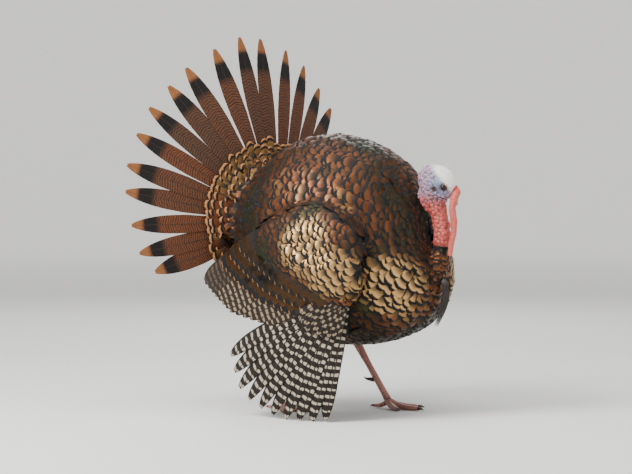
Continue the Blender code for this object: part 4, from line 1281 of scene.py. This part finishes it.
def matt_vane(tree, colour, lines, lines_share):
    """What every long quill is made of: matt keratin barbs beside a smooth brown shaft."""
    shaft_place = add(tree, "Attribute", output="Fac", attribute_name="shaft")
    lined = add(tree, "Mix", {0: lines_share, 6: colour, 7: lines}, blend_type="MULTIPLY", **COLOUR)
    return {
        "Base Color": add(tree, "Mix", {0: shaft_place, 6: lined, 7: linear("rachis")}, **COLOUR),
        "Normal": add(tree, "Bump", {"Strength": 0.6, "Distance": 0.0005, "Height": lines})}


def tail_feather(tree, place):
    """Tail feather: matt keratin vane, brown with fine black bars, a black band and a pale tip."""
    _, along, out = vane_places(tree)
    lines = barb_lines(tree, along, out, TAIL_BARBS, 7.0)
    rough = add(tree, "TexNoise", {"Vector": place, "Scale": TAIL_RAG, "Detail": 3.0})
    wobble = add(tree, "Math", {0: rough, 1: 1.3}, operation="MULTIPLY")
    leaned = add(tree, "Math", {0: out, 1: 2.4, 2: wobble}, operation="MULTIPLY_ADD")
    # 50 fine bars over 350 mm, 7 mm apart as on a real tail, ragged where the barbs shift
    wave = waves(tree, along, 50.0, leaned)
    bar = add(tree, "ValToRGB", {0: wave}, stops=((0.05, 0.0), (0.45, 1.0)))
    bar = add(tree, "Math", {0: bar, 1: 0.72}, operation="MULTIPLY")
    tone = add(tree, "Attribute", output="Fac", attribute_name="tone")
    band = add(tree, "ValToRGB", {0: along}, stops=(
        (0.74, 0.0), (0.79, 1.0), (0.875, 1.0), (0.90, 0.0)))
    tip = add(tree, "ValToRGB", {0: along}, stops=((0.885, 0.0), (0.915, 1.0)))
    colour = linear("tail_brown")
    for share, name in ((tone, "chestnut"), (bar, "tail_black"), (band, "tail_black"),
                        (tip, "tail_tip")):
        colour = add(tree, "Mix", {0: share, 6: colour, 7: linear(name)}, **COLOUR)
    return {**matt_vane(tree, colour, lines, 0.38), "Roughness": 0.62, "Specular IOR Level": 0.20}


def barred_quill(tree, place, count, ground, pale, low, high, slant, step):
    """Flight feather: stiff matt keratin vane with pale bars across a dark ground.

    Real quills have about a third more bars: they are drawn broader, so that each one shows.
    """
    across, along, out = vane_places(tree)
    lines = barb_lines(tree, along, out, QUILL_BARBS, 5.0)
    rough = add(tree, "TexNoise", {"Vector": place, "Scale": BAR_RAG, "Detail": 3.0})
    # the bars of the two webs miss each other a little at the shaft
    web = add(tree, "Math", {0: across, 1: 0.5}, operation="GREATER_THAN")
    shift = add(tree, "Math", {0: rough, 1: 0.45}, operation="MULTIPLY")
    tone = add(tree, "Attribute", output="Fac", attribute_name="tone")
    for part, share in ((web, step), (tone, 0.8), (out, slant)):
        shift = add(tree, "Math", {0: part, 1: share, 2: shift}, operation="MULTIPLY_ADD")
    wave = waves(tree, along, count, shift)
    worn = add(tree, "TexNoise", {"Vector": place, "Scale": BAR_WEAR, "Detail": 2.0})
    worn = add(tree, "MapRange", {0: worn, 1: 0.3, 2: 0.7, 3: 0.36, 4: 0.64})
    half = add(tree, "Math", {0: wave, 1: 0.5, 2: worn}, operation="MULTIPLY_ADD")
    bar = add(tree, "ValToRGB", {0: half}, stops=((low, 0.0), (high, 1.0)))
    brown = add(tree, "Attribute", output="Fac", attribute_name="rust")
    barred_share = add(tree, "Math", {0: 1.0, 1: brown}, operation="SUBTRACT")
    bar = add(tree, "Math", {0: bar, 1: barred_share}, operation="MULTIPLY")
    barred = add(tree, "Mix", {0: bar, 6: linear(ground), 7: linear(pale)}, **COLOUR)
    # a dark line beside the shaft, and painted shade along the rim of each web where the next
    # feather overlaps, part each feather from the next
    rim = add(tree, "ValToRGB", {0: out}, stops=(
        (0.025, 1.0), (0.06, 0.0), (0.37, 0.0), (0.44, 1.0)))
    rimmed = add(tree, "Mix", {0: rim, 6: barred, 7: linear(ground)}, **COLOUR)
    return {**matt_vane(tree, rimmed, lines, 0.30), "Roughness": 0.60, "Specular IOR Level": 0.18}


def bare_skin(tree, place):
    """Skin: moist living flesh, white on the crown, blue on the face and red on the warts.

    Light goes a little way into it, so folds glow. Painted shade darkens the creases between warts,
    the gape, the ear hole, the lids and the skin round eye, temple and jowl. Under the coat it is
    sooty down, painted bronze as a highlight below the coat's bright patches.
    """
    fine = add(tree, "TexNoise", {"Vector": place, "Scale": SKIN_GRAIN, "Detail": 4.0})
    broad = add(tree, "TexNoise", {"Vector": place, "Scale": SKIN_BLOTCH, "Detail": 3.0})
    part = {name: add(tree, "Attribute", output="Fac", attribute_name=name)
            for name in ("red", "face", "crown", "dark", "gleam", "rust", "bare")}
    red = add(tree, "Mix", {0: broad, 6: linear("wart_red"), 7: linear("skin_pink")}, **COLOUR)
    red = add(tree, "Mix", {0: 0.45, 6: red, 7: linear("skin_red")}, **COLOUR)
    skin = linear("face_blue")
    # the dark field lays painted shade in the crease colour over the skin
    for name, over in (("red", red), ("face", linear("face_blue")),
                       ("crown", linear("crown_white")), ("dark", linear("crease"))):
        skin = add(tree, "Mix", {0: part[name], 6: skin, 7: over}, **COLOUR)
    speck = add(tree, "MapRange", {0: fine, 1: 0.3, 2: 0.7, 3: 0.82, 4: 1.06})
    skin = add(tree, "Mix", {0: 1.0, 6: skin, 7: speck}, blend_type="MULTIPLY", **COLOUR)
    down = linear("soot")
    # under the coat's painted highlight the down is painted bronze too, and under the chestnut tips
    # it is brown
    for name, most, over in (("gleam", 0.5, "bronze"), ("rust", 0.4, "tail_brown")):
        share = add(tree, "Math", {0: part[name], 1: most}, operation="MULTIPLY")
        down = add(tree, "Mix", {0: share, 6: down, 7: linear(over)}, **COLOUR)
    pits = add(tree, "TexVoronoi", {"Vector": place, "Scale": SKIN_PITS})
    return {
        "Base Color": add(tree, "Mix", {0: part["bare"], 6: down, 7: skin}, **COLOUR),
        "Normal": add(tree, "Bump", {"Strength": 0.45, "Distance": 0.0005, "Height": pits}),
        "Roughness": 0.48, "Subsurface Weight": 0.12, "Subsurface Scale": 0.004}


def snood_flesh(tree, place):
    """Snood: the same moist flesh as the warts, red and finely folded."""
    broad = add(tree, "TexNoise", {"Vector": place, "Scale": SNOOD_BLOTCH, "Detail": 3.0})
    flush = add(tree, "Attribute", output="Fac", attribute_name="red")
    red = add(tree, "Mix", {0: broad, 6: linear("snood"), 7: linear("skin_pink")}, **COLOUR)
    pits = add(tree, "TexVoronoi", {"Vector": place, "Scale": SNOOD_PITS})
    return {
        "Base Color": add(tree, "Mix", {0: flush, 6: linear("skin_red"), 7: red}, **COLOUR),
        "Normal": add(tree, "Bump", {"Strength": 0.4, "Distance": 0.0004, "Height": pits}),
        "Roughness": 0.42, "Subsurface Weight": 0.15, "Subsurface Scale": 0.004}


def horn(tree, place):
    """Bill: smooth layered horn with a soft gloss, dark at the base and pale at the tip."""
    tip, dark = (add(tree, "Attribute", output="Fac", attribute_name=name)
                 for name in ("tip", "dark"))
    streaks = add(tree, "TexNoise", {"Vector": place, "Scale": BILL_STREAK, "Detail": 4.0})
    grown = add(tree, "Mix", {0: tip, 6: linear("horn_dark"), 7: linear("horn")}, **COLOUR)
    streaked = add(tree, "Mix", {0: 0.35, 6: grown, 7: streaks}, blend_type="OVERLAY", **COLOUR)
    return {
        # the nostril is painted black as painted shade in its hollow
        "Base Color": add(tree, "Mix", {0: dark, 6: streaked, 7: linear("pupil")}, **COLOUR),
        "Normal": add(tree, "Bump", {"Strength": 0.3, "Distance": 0.0003, "Height": streaks}),
        "Roughness": 0.33}


def claw_horn(tree, place):
    """Claw and spur: dark dense horn, worn a little dull."""
    streaks = add(tree, "TexNoise", {"Vector": place, "Scale": CLAW_STREAK, "Detail": 4.0})
    return {
        "Base Color": add(tree, "Mix", {0: streaks, 6: linear("claw"), 7: linear("horn_dark")},
                          **COLOUR),
        "Normal": add(tree, "Bump", {"Strength": 0.35, "Distance": 0.0003, "Height": streaks}),
        "Roughness": add(tree, "MapRange", {0: streaks, 3: 0.30, 4: 0.52})}


def leg_scale(tree, place):
    """Leg: dry horny scales with a dull gloss, pink-grey with darker grooves."""
    patches = add(tree, "TexNoise", {"Vector": place, "Scale": LEG_BLOTCH, "Detail": 4.0})
    ground = add(tree, "Mix", {0: patches, 6: linear("leg_pink"), 7: linear("leg_grey")}, **COLOUR)
    crease = add(tree, "Attribute", output="Fac", attribute_name="crease")
    groove = add(tree, "Math", {0: crease, 1: 0.75}, operation="MULTIPLY")
    return {
        "Base Color": add(tree, "Mix", {0: groove, 6: ground, 7: linear("crease")}, **COLOUR),
        "Normal": add(tree, "Bump", {"Strength": 0.35, "Distance": 0.0004, "Height": patches}),
        "Roughness": add(tree, "MapRange", {0: patches, 3: 0.40, 4: 0.60})}


def eye_ball(tree, place):
    """Eye: wet cornea over a dark brown iris and a round pupil."""
    off_axis = add(tree, "Attribute", output="Fac", attribute_name="off_axis")
    rays = add(tree, "TexNoise", {"Vector": place, "Scale": IRIS_RAYS, "Detail": 3.0})
    iris = add(tree, "Mix", {0: rays, 6: linear("pupil"), 7: linear("iris")}, **COLOUR)
    iris = add(tree, "Mix", {0: 0.5, 6: iris, 7: linear("iris")}, **COLOUR)
    ring = add(tree, "ValToRGB", {0: off_axis}, stops=(
        (0.0, linear("pupil")), (0.27, linear("pupil")), (0.31, linear("iris")),
        (0.62, linear("iris")), (0.70, linear("pupil"))))
    return {
        "Base Color": add(tree, "Mix", {0: 0.6, 6: ring, 7: iris}, blend_type="MULTIPLY", **COLOUR),
        "Roughness": 0.16, "Coat Weight": 0.2, "Coat Roughness": 0.03, "Specular IOR Level": 0.3}


def bristle(tree, place):
    """Bristle: black keratin with a dull shine, browner where it is worn."""
    worn = add(tree, "TexNoise", {"Vector": place, "Scale": BRISTLE_WEAR, "Detail": 2.0})
    return {
        "Base Color": add(tree, "Mix", {0: worn, 6: linear("bristle"), 7: linear("rachis")},
                          **COLOUR),
        "Roughness": 0.45}


def painted_board(tree, place):
    """Floor: matt painted board. The far board is lit from behind, as pale as beside the bird."""
    grain = add(tree, "TexNoise", {"Vector": place, "Scale": BOARD_GRAIN, "Detail": 2.0})
    tint = add(tree, "MapRange", {0: grain, 3: 0.97, 4: 1.0})
    away = add(tree, "VectorMath", {0: place}, output="Value", operation="LENGTH")
    return {
        "Base Color": add(tree, "Mix", {0: 1.0, 6: linear("floor"), 7: tint},
                          blend_type="MULTIPLY", **COLOUR),
        "Roughness": 0.85, "Emission Color": linear("floor"),
        "Emission Strength": add(tree, "MapRange", {0: away, 1: 1.8, 2: 7.6, 3: 0.0, 4: 0.64})}


def finish(name, recipe, *choices):
    """A node material, whose recipe says what its shader's sockets take."""
    made = bpy.data.materials.new(name)
    made.use_nodes = True
    tree = made.node_tree
    place = add(tree, "TexCoord", output="Object")
    feed(tree, tree.nodes["Principled BSDF"], recipe(tree, place, *choices))
    return made


RECIPES = {
    "contour_feather": (contour_feather, ("olive_green", "bronze", "copper", "old_gold", "soot")),
    "greater_covert": (contour_feather, ("soot", "bronze", "bronze", "copper", "buff")),
    "tail_covert": (contour_feather, ("bronze", "chestnut", "copper", "old_gold", "buff")),
    "tail_feather": (tail_feather,),
    "primary": (barred_quill, 18, "quill_dark", "quill_white", 0.65, 0.75, 0.15, 0.12),
    "primary_covert": (barred_quill, 6, "quill_dark", "quill_grey", 0.64, 0.74, 0.15, 0.12),
    "secondary": (barred_quill, 15, "quill_brown", "quill_grey", 0.62, 0.74, 0.20, 0.15),
    "bare_skin": (bare_skin,),
    "snood_flesh": (snood_flesh,),
    "horn": (horn,),
    "claw_horn": (claw_horn,),
    "leg_scale": (leg_scale,),
    "eye": (eye_ball,),
    "bristle": (bristle,),
}
MATERIALS = {name: finish(name, *recipe) for name, recipe in RECIPES.items()}


# ---------------------------------------------------------------- studio
CAMERA_SIDE, CAMERA_RISE, CAMERA_AWAY, CAMERA_LENS = 35, 2.5, 6.14, 150.0
CAMERA_AIM = Vector((-0.044, -0.025, 0.400))
# lamps: degrees round from the bird's right side and up, distance, power and size
LAMP_AIM = Vector((0, 0, 0.4))
LAMPS = {"key": (-15, 42, 3.2, 165, 1.4), "fill": (80, 18, 3.6, 42, 3.0),
         "top": (35, 84, 3.0, 95, 3.0), "rim": (215, 30, 3.4, 40, 1.8)}
SKY_COLOUR, SKY_STRENGTH = (0.80, 0.82, 0.85, 1), 0.38
FLOOR_REACH, BACKDROP_BEND, BACKDROP_TOP, FLOOR_SIDES = 7, 3, 6.0, 64


def stand(name, data, aim, side, rise, away):
    """Stands a lamp or the camera round the bird, turned towards a point."""
    a, e = math.radians(side), math.radians(rise)
    way = Vector((math.sin(a) * math.cos(e), -math.cos(a) * math.cos(e), math.sin(e)))
    made = bpy.data.objects.new(name, data)
    bpy.context.scene.collection.objects.link(made)
    made.location = aim + way * away
    made.rotation_euler = (-way).to_track_quat("-Z", "Y").to_euler()
    return made


def make_floor():
    """A plain pale floor that curves up all round into a backdrop."""
    bends = np.linspace(0, math.pi / 2, 12)
    profile = [(0.4, 0.0), (4.0, 0.0)]
    profile += [(FLOOR_REACH + BACKDROP_BEND * math.sin(b), BACKDROP_BEND * (1 - math.cos(b)))
                for b in bends]
    profile.append((FLOOR_REACH + BACKDROP_BEND, BACKDROP_TOP))
    turn = np.arange(FLOOR_SIDES) / FLOOR_SIDES * TURN
    points = [(r * math.cos(t), r * math.sin(t), h) for r, h in profile for t in turn]
    faces = [tuple(range(FLOOR_SIDES))]
    for ring in range(0, (len(profile) - 1) * FLOOR_SIDES, FLOOR_SIDES):
        for k in range(FLOOR_SIDES):
            this, after = ring + k, ring + (k + 1) % FLOOR_SIDES
            faces.append((this, this + FLOOR_SIDES, after + FLOOR_SIDES, after))
    mesh = bpy.data.meshes.new("floor")
    mesh.from_pydata(points, [], faces)
    mesh.shade_smooth()
    mesh.materials.append(finish("studio_floor", painted_board))
    floor = bpy.data.objects.new("floor", mesh)
    bpy.context.scene.collection.objects.link(floor)


def make_studio():
    """The floor, soft lights and the camera."""
    make_floor()
    for name, (side, rise, away, power, size) in LAMPS.items():
        light = bpy.data.lights.new(name, "AREA")
        light.energy, light.size = power, size
        stand(name, light, LAMP_AIM, side, rise, away)
    world = bpy.data.worlds.new("studio")
    bpy.context.scene.world = world
    world.use_nodes = True
    feed(world.node_tree, world.node_tree.nodes["Background"], {0: SKY_COLOUR, 1: SKY_STRENGTH})
    camera = bpy.data.cameras.new("camera")
    camera.lens, camera.sensor_width = CAMERA_LENS, 36.0
    bpy.context.scene.camera = stand("camera", camera, CAMERA_AIM, CAMERA_SIDE, CAMERA_RISE,
                                     CAMERA_AWAY)


def main():
    form, soft = body_form()
    own = [tuple(p) for p in soft]
    own_faces = [tuple(p.vertices) for p in form.polygons]
    quill_nodes = [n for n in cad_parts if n.endswith(("primaries", "secondaries"))]
    quill_points, quill_faces, _ = node_mesh(quill_nodes)
    joined = [tuple(len(own) + i for i in f) for f in quill_faces]
    surface = BVHTree.FromPolygons(own + quill_points, own_faces + joined)
    make_studio()
    skin = make_skin(form.copy(), soft, BVHTree.FromPolygons(own, own_faces), owners(soft, FLESH))
    make_coats(form, surface, BVHTree.FromPolygons(quill_points, quill_faces))
    bpy.data.meshes.remove(form)
    make_tail_coverts()
    make_tail()
    for side in WINGS:
        make_wing(side)
    make_bill()
    for side, way in SIDES.items():
        make_eye(f"eye_{side}", way)
    make_snood()
    make_beard()
    make_head_bristles(skin)
    make_legs()


main()
